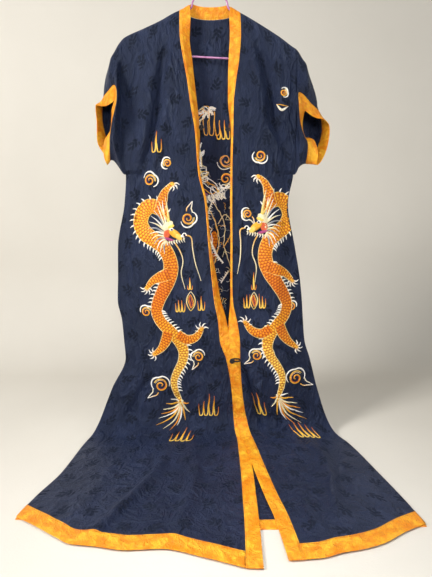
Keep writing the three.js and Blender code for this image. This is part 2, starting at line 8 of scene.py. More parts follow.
# %% Load the plain robe
import bmesh
import bpy
import mathutils
import numpy as np
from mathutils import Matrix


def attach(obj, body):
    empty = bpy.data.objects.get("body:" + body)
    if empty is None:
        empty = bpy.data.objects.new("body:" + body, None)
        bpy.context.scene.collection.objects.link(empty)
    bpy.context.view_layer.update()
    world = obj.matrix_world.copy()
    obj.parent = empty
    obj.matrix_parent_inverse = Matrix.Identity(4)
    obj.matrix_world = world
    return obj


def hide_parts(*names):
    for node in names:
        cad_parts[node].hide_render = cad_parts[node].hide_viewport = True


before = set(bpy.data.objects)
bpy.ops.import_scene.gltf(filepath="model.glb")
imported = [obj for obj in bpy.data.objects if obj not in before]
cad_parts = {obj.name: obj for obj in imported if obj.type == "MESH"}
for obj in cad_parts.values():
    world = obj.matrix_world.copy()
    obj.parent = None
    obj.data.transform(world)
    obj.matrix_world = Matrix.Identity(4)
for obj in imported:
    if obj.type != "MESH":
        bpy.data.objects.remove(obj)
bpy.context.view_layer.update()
print("nodes:", len(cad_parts))

# %% [markdown]
# ## Sizes
# Sizes are in millimetres, and one last step turns them into metres. They repeat the robe's own pattern, so
# that the cloth lies where the plain pieces are.

# %% The robe's sizes
MM = 0.001
SILK = 0.9               # thickness of the silk
BINDING = 2.2            # thickness of a folded binding
BINDING_WIDTH = 27.0     # front, neck and cuff bindings
HEM_FRONT = 36.0
HEM_BACK = 27.0
GAP = 0.3                # the clearance at a seam
TUCK = 4.0               # how far a panel runs into its binding
SHOULDER = -120.0        # height of the shoulder line beside the neck
FLOOR = -1180.0          # height of the surface that the skirt lies on
BEND = 60.0              # radius where the cloth turns from hanging to lying
UNDERARM = 389.0         # way down the side where the sleeve ends
ARM_DEPTH = 16.0         # half the depth of the open armhole
RIDGE_RUN = 60.0         # the cloth reaches its full depth this far below the ridge
LAST_ROW = 1400.0        # length of the panels below the ridge, before they are spread to the hem
SPREAD_FROM = 1140.0
HANG = SHOULDER - FLOOR - BEND
TURN = BEND * np.pi / 2


SIGN = {"left": -1, "right": 1}


def table(names, rows):
    """A table with named columns: each name gives the whole column as an array."""
    return dict(zip(names.split(), np.array(rows, float).T))


# %% [markdown]
# Each front is a row of cross sections. `way` runs down the cloth from the shoulder line, `side` and `seam`
# are where the side seam and the binding's seam hang, `roll` turns the binding inwards, and `lift` is how far
# the seam stands in front of the hanging line.

# %% The two fronts, the layers, the shoulder ridge and the hems
FRONTS = {
    "left": table("way side seam roll lift", [
        (0, -207, -73, 0, 12), (62, -207, -72, 30, 19), (122, -211, -64, 40, 25), (170, -213, -55, 55, 28),
        (227, -214, -47, 60, 29), (294, -213, -36, 74, 29), (389, -210, -29, 94, 30), (460, -215, -13, 94, 30),
        (568, -234, -4, 88, 30), (652, -236, 4, 68, 28), (706, -238, 10, 58, 27), (759, -228, 20, 42, 25),
        (811, -224, 25, 6, 23), (857, -221, 41, 0, 21), (940, -258, 55, 0, 16), (1049, -298, 63, 0, 7),
        (1100, -311, 69, 0, 4), (1245, -320, 69, 0, 4), (1340, -340, 67, 0, 4), (1400, -349, 66, 0, 4),
        (1530, -356, 61, 0, 4),
    ]),
    "right": table("way side seam roll lift", [
        (0, 207, 73, 0, 12), (62, 206, 75, 5, 15), (122, 208, 71, 20, 20), (170, 209, 64, 48, 24),
        (227, 211, 58, 70, 28), (294, 210, 57, 90, 31), (389, 208, 55, 96, 33), (460, 196, 55, 96, 33),
        (568, 215, 56, 96, 33), (652, 230, 56, 94, 33), (706, 236, 58, 86, 33), (759, 240, 69, 40, 32),
        (811, 245, 76, 2, 31), (857, 259, 77, 0, 29), (940, 281, 83, 0, 23), (1049, 318, 100, 0, 12),
        (1100, 343, 110, 0, 8), (1245, 367, 126, 0, 7), (1340, 380, 139, 0, 4), (1400, 386, 148, 0, 4),
        (1530, 396, 158, 0, 4),
    ]),
}
LAYERS = table("way back frontSide backSide", [
    (0, -12, 0.8, -0.8), (60, -13, 0.8, -0.8), (389, -18, 0.8, -0.8), (700, -15, 0.8, -0.8),
    (940, -8, 1.2, -0.6), (1049, -1, 2.4, 0.2), (1100, 0.6, 3.8, 0.6), (1530, 0.6, 3.8, 0.6),
])
RIDGE = table("x drop", [
    (-210, 70), (-200, 64), (-160, 47), (-120, 29), (-80, 8), (-55, 0), (0, -3),
    (55, 3), (80, 14), (107, 29), (143, 50), (172, 68), (200, 88), (210, 94),
])
HEMS = {
    "left": table("across way", [
        (0, 1400), (0.12, 1428), (0.23, 1456), (0.3, 1472), (0.4, 1478), (0.53, 1487), (0.67, 1484), (0.84, 1503),
        (1, 1526),
    ]),
    "right": table("across way", [
        (0, 1420), (0.19, 1441), (0.41, 1471), (0.58, 1485), (0.73, 1493), (0.87, 1504), (1, 1508),
    ]),
    "back": table("across way", [(0, 1404), (0.5, 1433), (1, 1424)]),
}
print("a front's seam runs", FRONTS["left"]["way"][-1], "mm down the cloth")


# %% [markdown]
# ## Curves through a table
# A smooth curve has to pass through each row without swinging past it, or a straight seam would ripple. The
# slope at a row is the harmonic mean of the slopes on its two sides, and nil where they differ in sign.

# %% Curves
def step(low, high, value):
    """Rises smoothly from 0 at low to 1 at high: 3s^2 - 2s^3 of the share s."""
    share = np.clip((value - low) / (high - low), 0, 1)
    return share * share * (3 - 2 * share)


def mix(a, b, share):
    """a at share 0 and b at share 1."""
    return a + (b - a) * share


def hermite(start, end, lead, tail, u):
    """The cubic from start to end for u from 0 to 1, with its slope lead at the start and tail at the end."""
    rise = start * (1 - u) ** 2 * (1 + 2 * u) + lead * u * (1 - u) ** 2
    return rise + end * u ** 2 * (3 - 2 * u) - tail * u ** 2 * (1 - u)


def through(at, values, t):
    """The cubic through (at, values), its slopes the harmonic means of the neighbours'."""
    at = np.asarray(at, float)
    values = np.asarray(values, float)
    width = np.diff(at)
    grade = np.diff(values) / width
    product = grade[:-1] * grade[1:]
    total = np.where(product > 0, grade[:-1] + grade[1:], 1.0)
    inner = np.where(product > 0, 2 * product / total, 0.0)
    slope = np.concatenate([grade[:1], inner, grade[-1:]])
    t = np.clip(t, at[0], at[-1])
    i = np.clip(np.searchsorted(at, t, side="left") - 1, 0, len(width) - 1)
    return hermite(values[i], values[i + 1], slope[i] * width[i], slope[i + 1] * width[i], (t - at[i]) / width[i])


def column(rows, name, way):
    """A column of a table at this way down the cloth."""
    return through(rows["way"], rows[name], way)


def unit(vectors):
    """Vectors scaled to length 1."""
    return vectors / np.maximum(np.linalg.norm(vectors, axis=-1, keepdims=True), 1e-12)


def lengths(points, axis=0):
    """How far each point of a line or a grid is from the first one along an axis."""
    steps = np.linalg.norm(np.diff(points, axis=axis), axis=-1)
    return np.concatenate([np.zeros_like(steps.take([0], axis)), np.cumsum(steps, axis=axis)], axis=axis)


# %% [markdown]
# ## Where the cloth hangs and lies
# The cloth hangs straight down, turns forwards round a quarter circle and then lies along the surface. One
# function bends the flat cloth that way, so a fold is only a change of its lift.

# %% The hanging line and the shoulder
def place(x, way, lift):
    """Straight down to HANG, round a quarter circle of radius BEND, then forwards: lift stands off that line."""
    angle = np.clip((way - HANG) / BEND, 0, np.pi / 2)
    out = np.maximum(way - HANG - TURN, 0)
    radius = BEND - lift
    hangs = way < HANG
    y = np.where(hangs, -lift, radius * np.cos(angle) - BEND - out)
    z = np.where(hangs, SHOULDER - way, FLOOR + BEND - radius * np.sin(angle))
    return np.stack(np.broadcast_arrays(x, y, z), axis=-1)


def rounded(below):
    """Nil on the shoulder ridge and 1 from RIDGE_RUN below it, as the cloth rounds the wire."""
    return (1 - (1 - np.clip(below / RIDGE_RUN, 0, 1)) ** 2) ** 0.35


def way_of(below, x, end):
    """The way down the cloth of a row below the ridge at x, spread so that LAST_ROW meets the panel's end."""
    drop = through(RIDGE["x"], RIDGE["drop"], x)
    way = below + drop * (1 - step(0, 700, below))
    spread = SPREAD_FROM + (way - SPREAD_FROM) * (end - SPREAD_FROM) / (LAST_ROW - SPREAD_FROM)
    way = np.where(way > SPREAD_FROM, spread, way)
    return np.where(below > LAST_ROW, end + below - LAST_ROW, way)


# %% [markdown]
# ## Folds
# A fold is a trough or a ridge along a drawn curve: `deep` is how far the cloth sinks, below nil how
# far it stands out, and `wide` is its half width. The large ones come first, then the smaller creases that
# the hanger, the frog and the bend pull into the silk.

# %% Tables of folds and creases
FOLDS = {
    "left": [
        # the hanger's long trough and the ridges beside it
        (15, 12, (30, 103, 187, 258, 338, 379, 470, 600), (-95, -107, -122, -133, -154, -168, -184, -204)),
        (9, 11, (150, 187, 258, 338, 379, 470, 600), (-116, -122, -133, -154, -168, -184, -204)),
        (-8, 12, (50, 187, 338, 430), (-86, -97, -127, -150)),
        (7, 8, (225, 280, 345), (-184, -180, -172)),
        # soft hanging folds
        (5, 11, (330, 460, 620, 790), (-112, -104, -96, -90)),
        (5, 9, (420, 560, 700, 840), (-196, -188, -182, -192)),
        (-4, 10, (440, 600, 760), (-64, -52, -44)),
        (4, 8, (560, 700, 860), (-34, -22, -8)),
        # wrinkles at the side
        (3.5, 4, (512, 540, 566), (-233, -214, -202)),
        (3.5, 4, (548, 574, 598), (-230, -212, -198)),
        (3, 5, (600, 640, 690), (-232, -206, -176)),
        (3, 5, (655, 690, 742), (-230, -204, -160)),
        # diagonals above the bend and on the floor
        (17, 12, (880, 929, 1003, 1090), (-150, -169, -207, -262)),
        (-8, 13, (900, 1010, 1080), (-190, -236, -275)),
        (4, 6, (905, 960, 1010), (-120, -96, -60)),
        (4, 6, (930, 990, 1060), (-70, -96, -140)),
        (11, 9, (1130, 1183, 1260, 1350, 1432, 1470), (-76, -80, -92, -132, -172, -186)),
        (-10, 12, (1130, 1230, 1340, 1440, 1480), (-104, -112, -148, -196, -210)),
        (-8, 18, (1160, 1250, 1350, 1450), (-214, -222, -240, -262)),
        (-8, 15, (1150, 1260, 1380, 1480), (-16, -28, -42, -60)),
        (-6, 14, (1230, 1330, 1430), (-306, -298, -290)),
        (6, 6, (1236, 1260, 1306, 1372), (-322, -315, -291, -266)),
        (5, 8, (1330, 1345, 1370, 1420), (-300, -262, -214, -160)),
        (4, 9, (1140, 1200, 1300), (-26, -18, -4)),
    ],
    "right": [
        (14, 12, (30, 85, 138, 199, 258, 297, 345, 400, 500), (110, 117, 130, 145, 150, 170, 188, 198, 208)),
        (12, 11, (150, 199, 258, 297, 345, 400, 500), (132, 145, 150, 170, 188, 198, 208)),
        (-8, 13, (60, 199, 300), (98, 118, 130)),
        (9, 8, (85, 130, 175, 215), (193, 186, 184, 192)),
        (4, 9, (330, 450, 600, 760), (150, 140, 150, 160)),
        (-4, 9, (420, 560, 700), (176, 170, 186)),
        (4, 8, (520, 650, 790), (200, 206, 214)),
        # creases that start at the waist frog
        (9, 8, (816, 850, 890), (164, 206, 246)),
        (4, 5, (790, 812, 850), (100, 140, 180)),
        (15, 8, (862, 905, 955, 1010, 1050, 1062), (92, 96, 112, 128, 144, 160)),
        (-5, 11, (880, 950, 1060), (122, 134, 176)),
        (5, 6, (1046, 1056, 1062), (146, 172, 206)),
        (4, 6, (930, 980, 1040), (190, 216, 240)),
        (8, 9, (1080, 1110, 1201, 1302, 1340), (278, 290, 293, 279, 270)),
        (-9, 14, (1100, 1210, 1320, 1440), (256, 264, 246, 230)),
        (-7, 14, (1160, 1280, 1400), (326, 334, 330)),
        (-6, 12, (1290, 1380, 1460), (176, 186, 200)),
        (4, 8, (1090, 1190, 1300), (190, 214, 222)),
    ],
}


def folds(rows, x, way):
    """The sum over the rows of a bell across the fold, exp(-(off/wide)^2), fading out at both of its ends."""
    total = np.zeros(np.broadcast(x, way).shape)
    for deep, wide, ways, xs in rows:
        centre = through(ways, xs, way)
        lean = through(ways, xs, way + 1) - centre
        off = (x - centre) / np.hypot(1, lean) / wide
        along = (way - ways[0]) / (ways[-1] - ways[0])
        total = total - deep * np.exp(-off * off) * step(0, 0.25, along) * step(1, 0.75, along)
    return total


FLUTE_DEPTH = 3.0
FLUTE_PITCH = 84.0       # across, from one flute to the next
FLUTE_DRIFT = 260.0      # the way down over which a flute moves sideways by a radian
FLUTES = (120, 560, 1040)  # the way down at which they begin, are deepest and end


def flutes(x, way, share):
    """Shallow waves of the hanging cloth, still at the panel's two edges."""
    first, deepest, last = FLUTES
    grown = step(first, deepest, way) * step(last, deepest, way)
    still = step(0, 0.15, share) * step(1, 0.85, share)
    return FLUTE_DEPTH * grown * still * np.sin(2 * np.pi * x / FLUTE_PITCH + way / FLUTE_DRIFT)


# %% [markdown]
# ## Fine creases
# Silk that has been folded away keeps many small creases. They are short troughs with a direction of their
# own, laid by a seeded draw, plus a few longer ones listed with the folds.

# %% Fine creases
def scatter(seed, count, x_range, way_range, deep, long, lean):
    """Short creases, each a bell across times a bell along, with its place, size and slant drawn at random."""
    draw = np.random.default_rng(seed)
    return {
        "x": draw.uniform(*x_range, count), "way": draw.uniform(*way_range, count),
        "deep": draw.uniform(*deep, count) * draw.choice([-1, 1], count),
        "long": draw.uniform(*long, count), "wide": draw.uniform(2.5, 6, count),
        "slant": draw.normal(0, lean, count),
    }


def small_creases(rows, x, way):
    """The sum of the short creases at x and way, in millimetres."""
    total = np.zeros(np.broadcast(x, way).shape)
    for i in range(len(rows["x"])):
        dx = x - rows["x"][i]
        dw = way - rows["way"][i]
        s = np.sin(rows["slant"][i])
        c = np.cos(rows["slant"][i])
        across = (dx * c - dw * s) / rows["wide"][i]
        along = (dx * s + dw * c) / rows["long"][i]
        total += rows["deep"][i] * np.exp(-across ** 2 - along ** 2)
    return total


CREASES = {
    "left": scatter(3, 150, (-320, 40), (120, 1380), (0.5, 1.7), (14, 60), 0.6),
    "right": scatter(4, 130, (60, 350), (120, 1380), (0.5, 1.7), (14, 60), 0.6),
    "back": scatter(5, 190, (-320, 340), (60, 1350), (0.5, 1.8), (18, 80), 0.5),
}
print("small creases:", sum(len(rows["x"]) for rows in CREASES.values()))

# %% [markdown]
# ## The panels as functions
# `across` runs from the side seam to the binding's seam, `below` from the shoulder ridge to the hem. The
# front must never sink through the back, so its lift is the larger of two lengths, rounded where they cross.

# %% The panels
WALL = 1.2               # the plain pieces' wall, which sets the clearances
FRONT_CLEAR = 0.9
NECK_DROP = 24.0


def at_least(value, least):
    """The larger of two lengths with a rounded corner: (a + b + hypot(a - b, 1)) / 2."""
    return (value + least + np.hypot(value - least, 1)) / 2


def side_lift(way, layer, sign):
    """Where a layer stands at the side seam: open round the arm, closed below the underarm."""
    arm = ARM_DEPTH * rounded(UNDERARM - way)
    return sign * np.maximum(arm, 2 * step(450, 400, way)) * step(410, 380, way) + column(LAYERS, layer, way)


def front_sheet(hand, across, way, below):
    """A point of a front: its lift goes from the side seam's to the binding's, plus folds, flutes and creases."""
    rows = FRONTS[hand]
    side = column(rows, "side", way) - SIGN[hand] * GAP / 2
    seam = column(rows, "seam", way) + SIGN[hand] * GAP / 2
    x = mix(side, seam, across)
    belly = step(0, 0.5, across)
    lift = mix(side_lift(way, "frontSide", 1), column(rows, "lift", way), belly)
    fine = small_creases(CREASES[hand], x, way) * step(0.99, 0.86, across)
    wave = folds(FOLDS[hand], x, way) + flutes(x, way, across) + fine
    least = column(LAYERS, "back", way) + WALL + FRONT_CLEAR
    clear = at_least(lift + wave * step(4, 60, below), least)
    return place(x, way, GAP / 2 + rounded(below) * mix(lift, clear, belly))


def front(hand, across, below, end):
    """The front at across (0 to 1) and below (mm under the ridge); end is the panel's hem there."""
    rows = FRONTS[hand]
    top = mix(rows["side"][0], rows["seam"][0], across)
    return front_sheet(hand, across, way_of(below, top, end), below)


LEFT_SIDE = FRONTS["left"]["side"][0]
RIGHT_SIDE = FRONTS["right"]["side"][0]
LEFT_SEAM = FRONTS["left"]["seam"][0]
RIGHT_SEAM = FRONTS["right"]["seam"][0]


def back_sheet(across, way, deeper):
    """A point of the back, behind the hanging line, with flutes and creases of its own."""
    left = column(FRONTS["left"], "side", way) + GAP / 2
    right = column(FRONTS["right"], "side", way) - GAP / 2
    x = mix(left, right, across)
    edge = np.minimum(across, 1 - across)
    lift = mix(side_lift(way, "backSide", -1), column(LAYERS, "back", way), step(0, 0.3, edge))
    fine = step(1040, 900, way) * step(0, 0.1, edge) * small_creases(CREASES["back"], x, way)
    wave = 0.6 * flutes(x + 30, way, edge * 2) + fine
    return place(x, way, rounded(deeper) * (lift + wave) - np.where(way < HANG, GAP / 2, 0))


def back(across, below, end):
    """The back at across (0 left to 1 right) and below; its neck edge dips in the middle."""
    top = mix(LEFT_SIDE, RIGHT_SIDE, across)
    dip = NECK_DROP * np.maximum(1 - (top / RIGHT_SEAM) ** 2, 0) ** 0.9
    deeper = dip + below * (1 - dip / LAST_ROW)
    return back_sheet(across, way_of(deeper, top, end), deeper)


def hem_end(hand, across, short):
    """The way down at which a panel ends, short of the hem's lower edge by its binding."""
    return through(HEMS[hand]["across"], HEMS[hand]["way"], across) - short


# %% [markdown]
# ## From a grid of points to a wall of cloth
# A sheet needs two faces and a rim. The normals come from the grid's own differences, the two faces stand
# half a thickness to each side, and a ring closes on itself in its first direction. A thickness that falls to
# nearly nothing at the edges gives a folded, rounded edge.

# %% Walls
def grid_normals(points, ring):
    """Unit normals of a grid: the cross product of its differences along both directions."""
    if ring:
        along_u = np.roll(points, -1, axis=1) - np.roll(points, 1, axis=1)
    else:
        along_u = np.gradient(points, axis=1)
    return unit(np.cross(along_u, np.gradient(points, axis=0)))


def quads(a, b, c, d):
    """Four arrays of corners as rows of faces."""
    return np.stack([a.ravel(), b.ravel(), c.ravel(), d.ravel()], axis=1)


def make_mesh(name, vertices, faces, uv=None, shades=None, smooth=True):
    """A mesh object in metres from whole arrays; uv and shades are one row per vertex."""
    mesh = bpy.data.meshes.new(name)
    mesh.from_pydata(vertices * MM, [], faces if isinstance(faces, list) else faces.tolist())
    mesh.polygons.foreach_set("use_smooth", np.full(len(mesh.polygons), smooth))
    corner = np.empty(len(mesh.loops), int)
    mesh.loops.foreach_get("vertex_index", corner)
    if uv is not None:
        layer = mesh.uv_layers.new(name="cut")
        layer.data.foreach_set("uv", (uv[corner] * MM).ravel())
    if shades is not None:
        colours = mesh.attributes.new("thread", "FLOAT_COLOR", "POINT")
        colours.data.foreach_set("color", np.column_stack([shades, np.ones(len(shades))]).ravel())
    mesh.update()
    piece = bpy.data.objects.new(name, mesh)
    bpy.context.scene.collection.objects.link(piece)
    return piece


def cloth_wall(name, points, thick, uv, ring=False, bulge=0.0):
    """Two faces half of thick to each side of the points, joined by a rim; bulge pushes the outer face alone."""
    high, wide = points.shape[:2]
    normal = grid_normals(points, ring)
    half = np.broadcast_to(np.asarray(thick, float) / 2, (high, wide))[..., None]
    extra = np.broadcast_to(np.asarray(bulge, float), (high, wide))[..., None]
    vertices = np.concatenate([(points + normal * (half + extra)).reshape(-1, 3),
                               (points - normal * half).reshape(-1, 3)])
    number = np.arange(high * wide).reshape(high, wide)
    if ring:
        number = np.concatenate([number, number[:, :1]], axis=1)
    inner = number + high * wide
    faces = [quads(number[:-1, :-1], number[:-1, 1:], number[1:, 1:], number[1:, :-1]),
             quads(inner[:-1, :-1], inner[1:, :-1], inner[1:, 1:], inner[:-1, 1:]),
             quads(number[0, :-1], inner[0, :-1], inner[0, 1:], number[0, 1:]),
             quads(number[-1, :-1], number[-1, 1:], inner[-1, 1:], inner[-1, :-1])]
    if not ring:
        faces += [quads(number[:-1, 0], number[1:, 0], inner[1:, 0], inner[:-1, 0]),
                  quads(number[:-1, -1], inner[:-1, -1], inner[1:, -1], number[1:, -1])]
    return make_mesh(name, vertices, np.concatenate(faces), np.tile(uv.reshape(-1, 2), (2, 1)))


def cut_uv(points):
    """Lengths along the cloth from its first row and column, so that a pattern keeps its size on the silk."""
    return np.stack([lengths(points, 1), lengths(points, 0)], axis=-1)


def area_of(points):
    """The area of a grid in square metres: half the cross product of each quad's diagonals."""
    one = points[1:, 1:] - points[:-1, :-1]
    two = points[1:, :-1] - points[:-1, 1:]
    return float(np.linalg.norm(np.cross(one, two), axis=-1).sum() / 2) * MM * MM


# %% [markdown]
# ## The body panels
# The two fronts and the back are cut separately and sewn at the sides, so each is a wall of its own. The rows
# stand closer together over the shoulder, where the cloth turns sharply over the wire.

# %% Fronts and back
NUDGE = 1e-4             # a small step, for slopes
SHOULDER_ROWS = [0, 0.3, 0.8, 1.8, 3.5, 6, 9.5, 13]
ROWS = np.concatenate([SHOULDER_ROWS, np.linspace(18, LAST_ROW, 310), [LAST_ROW + TUCK]])
EDGE_TUCK = 2.0          # how far the front runs into the binding down its edge
FRONT_WIDTH = 134.0      # at the shoulder
ACROSS = {"left": 91, "right": 91, "back": 131}  # columns of each panel
pieces = {}


def finished(piece, slot, *nodes):
    """The piece rides with the robe, stands for its plain nodes and is listed for its finish; slot is not used."""
    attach(piece, "root")
    if nodes:
        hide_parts(*nodes)
    pieces[piece.name] = piece
    return piece


def facing_out(points, hand):
    """Turns a left-hand grid round, so that its normals point to the outside of the robe."""
    return points[:, ::-1] if hand == "left" else points


for hand, count in ACROSS.items():
    tuck = 0 if hand == "back" else EDGE_TUCK / FRONT_WIDTH
    across = np.linspace(0, 1 + tuck, count)[None, :]
    if hand == "back":
        points = back(across, ROWS[:, None], hem_end(hand, across, HEM_BACK))
        node = "back"
    else:
        points = front(hand, across, ROWS[:, None], hem_end(hand, across, HEM_FRONT))
        node = "front_" + hand
    area_of(points)
    silk = cloth_wall("silk_" + node, facing_out(points, hand), SILK, facing_out(cut_uv(points), hand))
    finished(silk, "navy_silk", node)

# %% [markdown]
# ## Satin bindings
# A binding is a strip of satin folded over the raw edge, so it is thicker than the silk, its two long edges
# are rounded folds, and it puckers a little where the machine pulled it. The thickness runs as a quarter
# circle to nearly nothing at both edges, and the puckers are shallow slanting waves of its outer face.

# %% The shape of a binding
TURN_SHARE = 0.25        # the front bindings turn inwards over this share of their width
STRIPS = np.array([0, 0.006, 0.018, 0.036, 0.07, 0.15, 0.25, 0.36, 0.48, 0.6, 0.72, 0.84, 0.93, 0.964, 0.982,
                   0.994, 1])
EDGE_LEFT = 0.03         # the share of its thickness that a binding keeps at its folded edge


def fold_thickness(share, width):
    """Full in the middle, a quarter circle down to almost nothing at each folded edge."""
    edge = BINDING / width
    off = np.clip((np.abs(2 * share - 1) - (1 - edge)) / edge, 0, 1)
    return BINDING * np.maximum(np.sqrt(1 - off * off), EDGE_LEFT)


def puckers(along, share, width):
    """Slanting waves of two lengths, strongest in the middle of the strip, with calm and busy stretches."""
    busy = 0.35 + 0.65 * (0.5 + 0.5 * np.sin(along / 67 + 1.3 * np.sin(along / 151)))
    fine = np.sin(2 * np.pi * (along + 0.7 * share * width) / 9.5 + 2 * np.sin(along / 23))
    long = np.sin(2 * np.pi * (along - 1.1 * share * width) / 31 + 1.5 * np.sin(along / 49))
    return busy * (0.16 * fine + 0.22 * long) * np.sin(np.pi * np.clip(share, 0, 1)) ** 0.7


def front_binding(hand, u, below):
    """Leaves the seam along the panel, turns inwards by roll over TURN_SHARE of its width, then runs straight."""
    end = hem_end(hand, 1, HEM_FRONT)
    seam = front(hand, 1.0, below, end)
    across = unit(seam - front(hand, 1 - NUDGE, below, end))
    along = unit(front(hand, 1.0, below + 0.05, end) - front(hand, 1.0, np.maximum(below - 0.05, 0), end))
    across = unit(across - along * (across * along).sum(-1, keepdims=True))
    inward = unit(np.cross(across, along)) * -SIGN[hand]
    way = way_of(below, FRONTS[hand]["seam"][0], end)
    roll = np.maximum(np.radians(column(FRONTS[hand], "roll", way)) * step(0, 30, below), 1e-3)
    turned = roll * np.minimum(u, TURN_SHARE) / TURN_SHARE
    rest = np.maximum(u - TURN_SHARE, 0)
    flat = TURN_SHARE / roll * np.sin(turned) + rest * np.cos(roll)
    deep = TURN_SHARE / roll * (1 - np.cos(turned)) + rest * np.sin(roll)
    return seam + across * (GAP + BINDING_WIDTH * flat)[..., None] + inward * (BINDING_WIDTH * deep)[..., None]


def binding_wall(name, points, share, along, width, ring=False):
    """A binding's wall from its middle surface, with folded edges and puckers."""
    uv = np.stack(np.broadcast_arrays(share * width, along), axis=-1)
    thick = fold_thickness(share, width)
    return cloth_wall(name, points, thick, uv, ring=ring, bulge=puckers(along, share, width))


# %% [markdown]
# ### Down the two fronts and round the neck
# The front bindings hang from the fronts' own edge, so they are worked out from the front's function and its
# slopes. The neck's binding leaves the back's dipped edge in line with the cloth and then stands up behind
# the neck.

# %% Front and neck bindings
BAND_ROWS = np.concatenate([SHOULDER_ROWS, np.linspace(18, LAST_ROW + HEM_FRONT, 420)])
for hand in SIGN:
    u = np.broadcast_to(STRIPS[None, :], (len(BAND_ROWS), len(STRIPS)))
    below = np.broadcast_to(BAND_ROWS[:, None], u.shape)
    points = front_binding(hand, u, below)
    satin = binding_wall("satin_front_" + hand, facing_out(points, hand), facing_out(u, hand),
                         facing_out(below, hand), BINDING_WIDTH)
    area_of(points)
    finished(satin, "orange_satin", "front_band_" + hand)

CURVED_GAP = 0.5         # the clearance at a curved seam
NECK_LEAN = 0.25         # forwards, against its height
NECK_FLAT = (0.87, 0.5)  # inwards and up: how the neck's binding lies on the shoulders
NECK_SET = 0.45          # share of the width over which the neck's binding turns to its own direction
NECK_START = (LEFT_SEAM - LEFT_SIDE) / (RIGHT_SIDE - LEFT_SIDE)
NECK_END = (RIGHT_SEAM - LEFT_SIDE) / (RIGHT_SIDE - LEFT_SIDE)


def neck_binding(u, v):
    """u along the neck, v up from the seam: flush with the cloth first, then upright, flat on the shoulders."""
    end = hem_end("back", 0.5, 0)
    across = mix(NECK_START, NECK_END, u)
    seam = back(across, 0.0, end)
    along = unit(back(across + NUDGE, 0.0, end) - back(across - NUDGE, 0.0, end))
    down = back(across, 0.05, end) - seam
    flush = -unit(down - along * (down * along).sum(-1, keepdims=True))
    spot = mix(-1, 1, u)[..., None]
    flat = np.sign(spot) * (-NECK_FLAT[0], 0, 0) + np.array([0, 0, NECK_FLAT[1]])
    wanted = unit(mix(np.array([0, -NECK_LEAN, 1]), flat, np.abs(spot) ** 3))
    own = np.maximum(step(0, NECK_SET, v)[..., None], spot ** 6)
    return seam + unit(mix(flush, wanted, own)) * (CURVED_GAP + BINDING_WIDTH * v)[..., None]


u, v = np.meshgrid(np.linspace(0, 1, 61), STRIPS)
points = neck_binding(u, v)
neck_length = lengths(points[0])[-1]
satin = binding_wall("satin_neck", points[:, ::-1], v[:, ::-1], (u * neck_length)[:, ::-1], BINDING_WIDTH)
area_of(points)
finished(satin, "orange_satin", "neck_band")
print("the neck's binding is", round(neck_length), "mm long")

# %% [markdown]
# ### Round the hem
# The hem's bindings continue the panels past their last row. The fronts' one lies on the back's.

# %% Hem bindings
HEM_OVER = BINDING + GAP


def hem_binding(hand, width, across, share):
    """The panel's own surface carried on past its end, and lifted where it would touch what is under it."""
    below = LAST_ROW + mix(GAP, width, share)
    end = hem_end(hand, across, width)
    if hand == "back":
        points = back(across, below, end)
        bottom = 0
    else:
        points = front(hand, across, below, end)
        bottom = HEM_OVER
    points[..., 2] = np.maximum(points[..., 2], FLOOR + bottom + BINDING / 2)
    return points


for hand, width, count in (("left", HEM_FRONT, 111), ("right", HEM_FRONT, 101), ("back", HEM_BACK, 161)):
    across, share = np.meshgrid(np.linspace(0, 1, count), STRIPS)
    points = hem_binding(hand, width, across, share)
    length = lengths(points[0])[-1]
    satin = binding_wall("satin_hem_" + hand, facing_out(points, hand), facing_out(share, hand),
                         facing_out(across * length, hand), width)
    area_of(points)
    finished(satin, "orange_satin", "hem_band_" + hand)
    print("hem", hand, round(length), "mm")
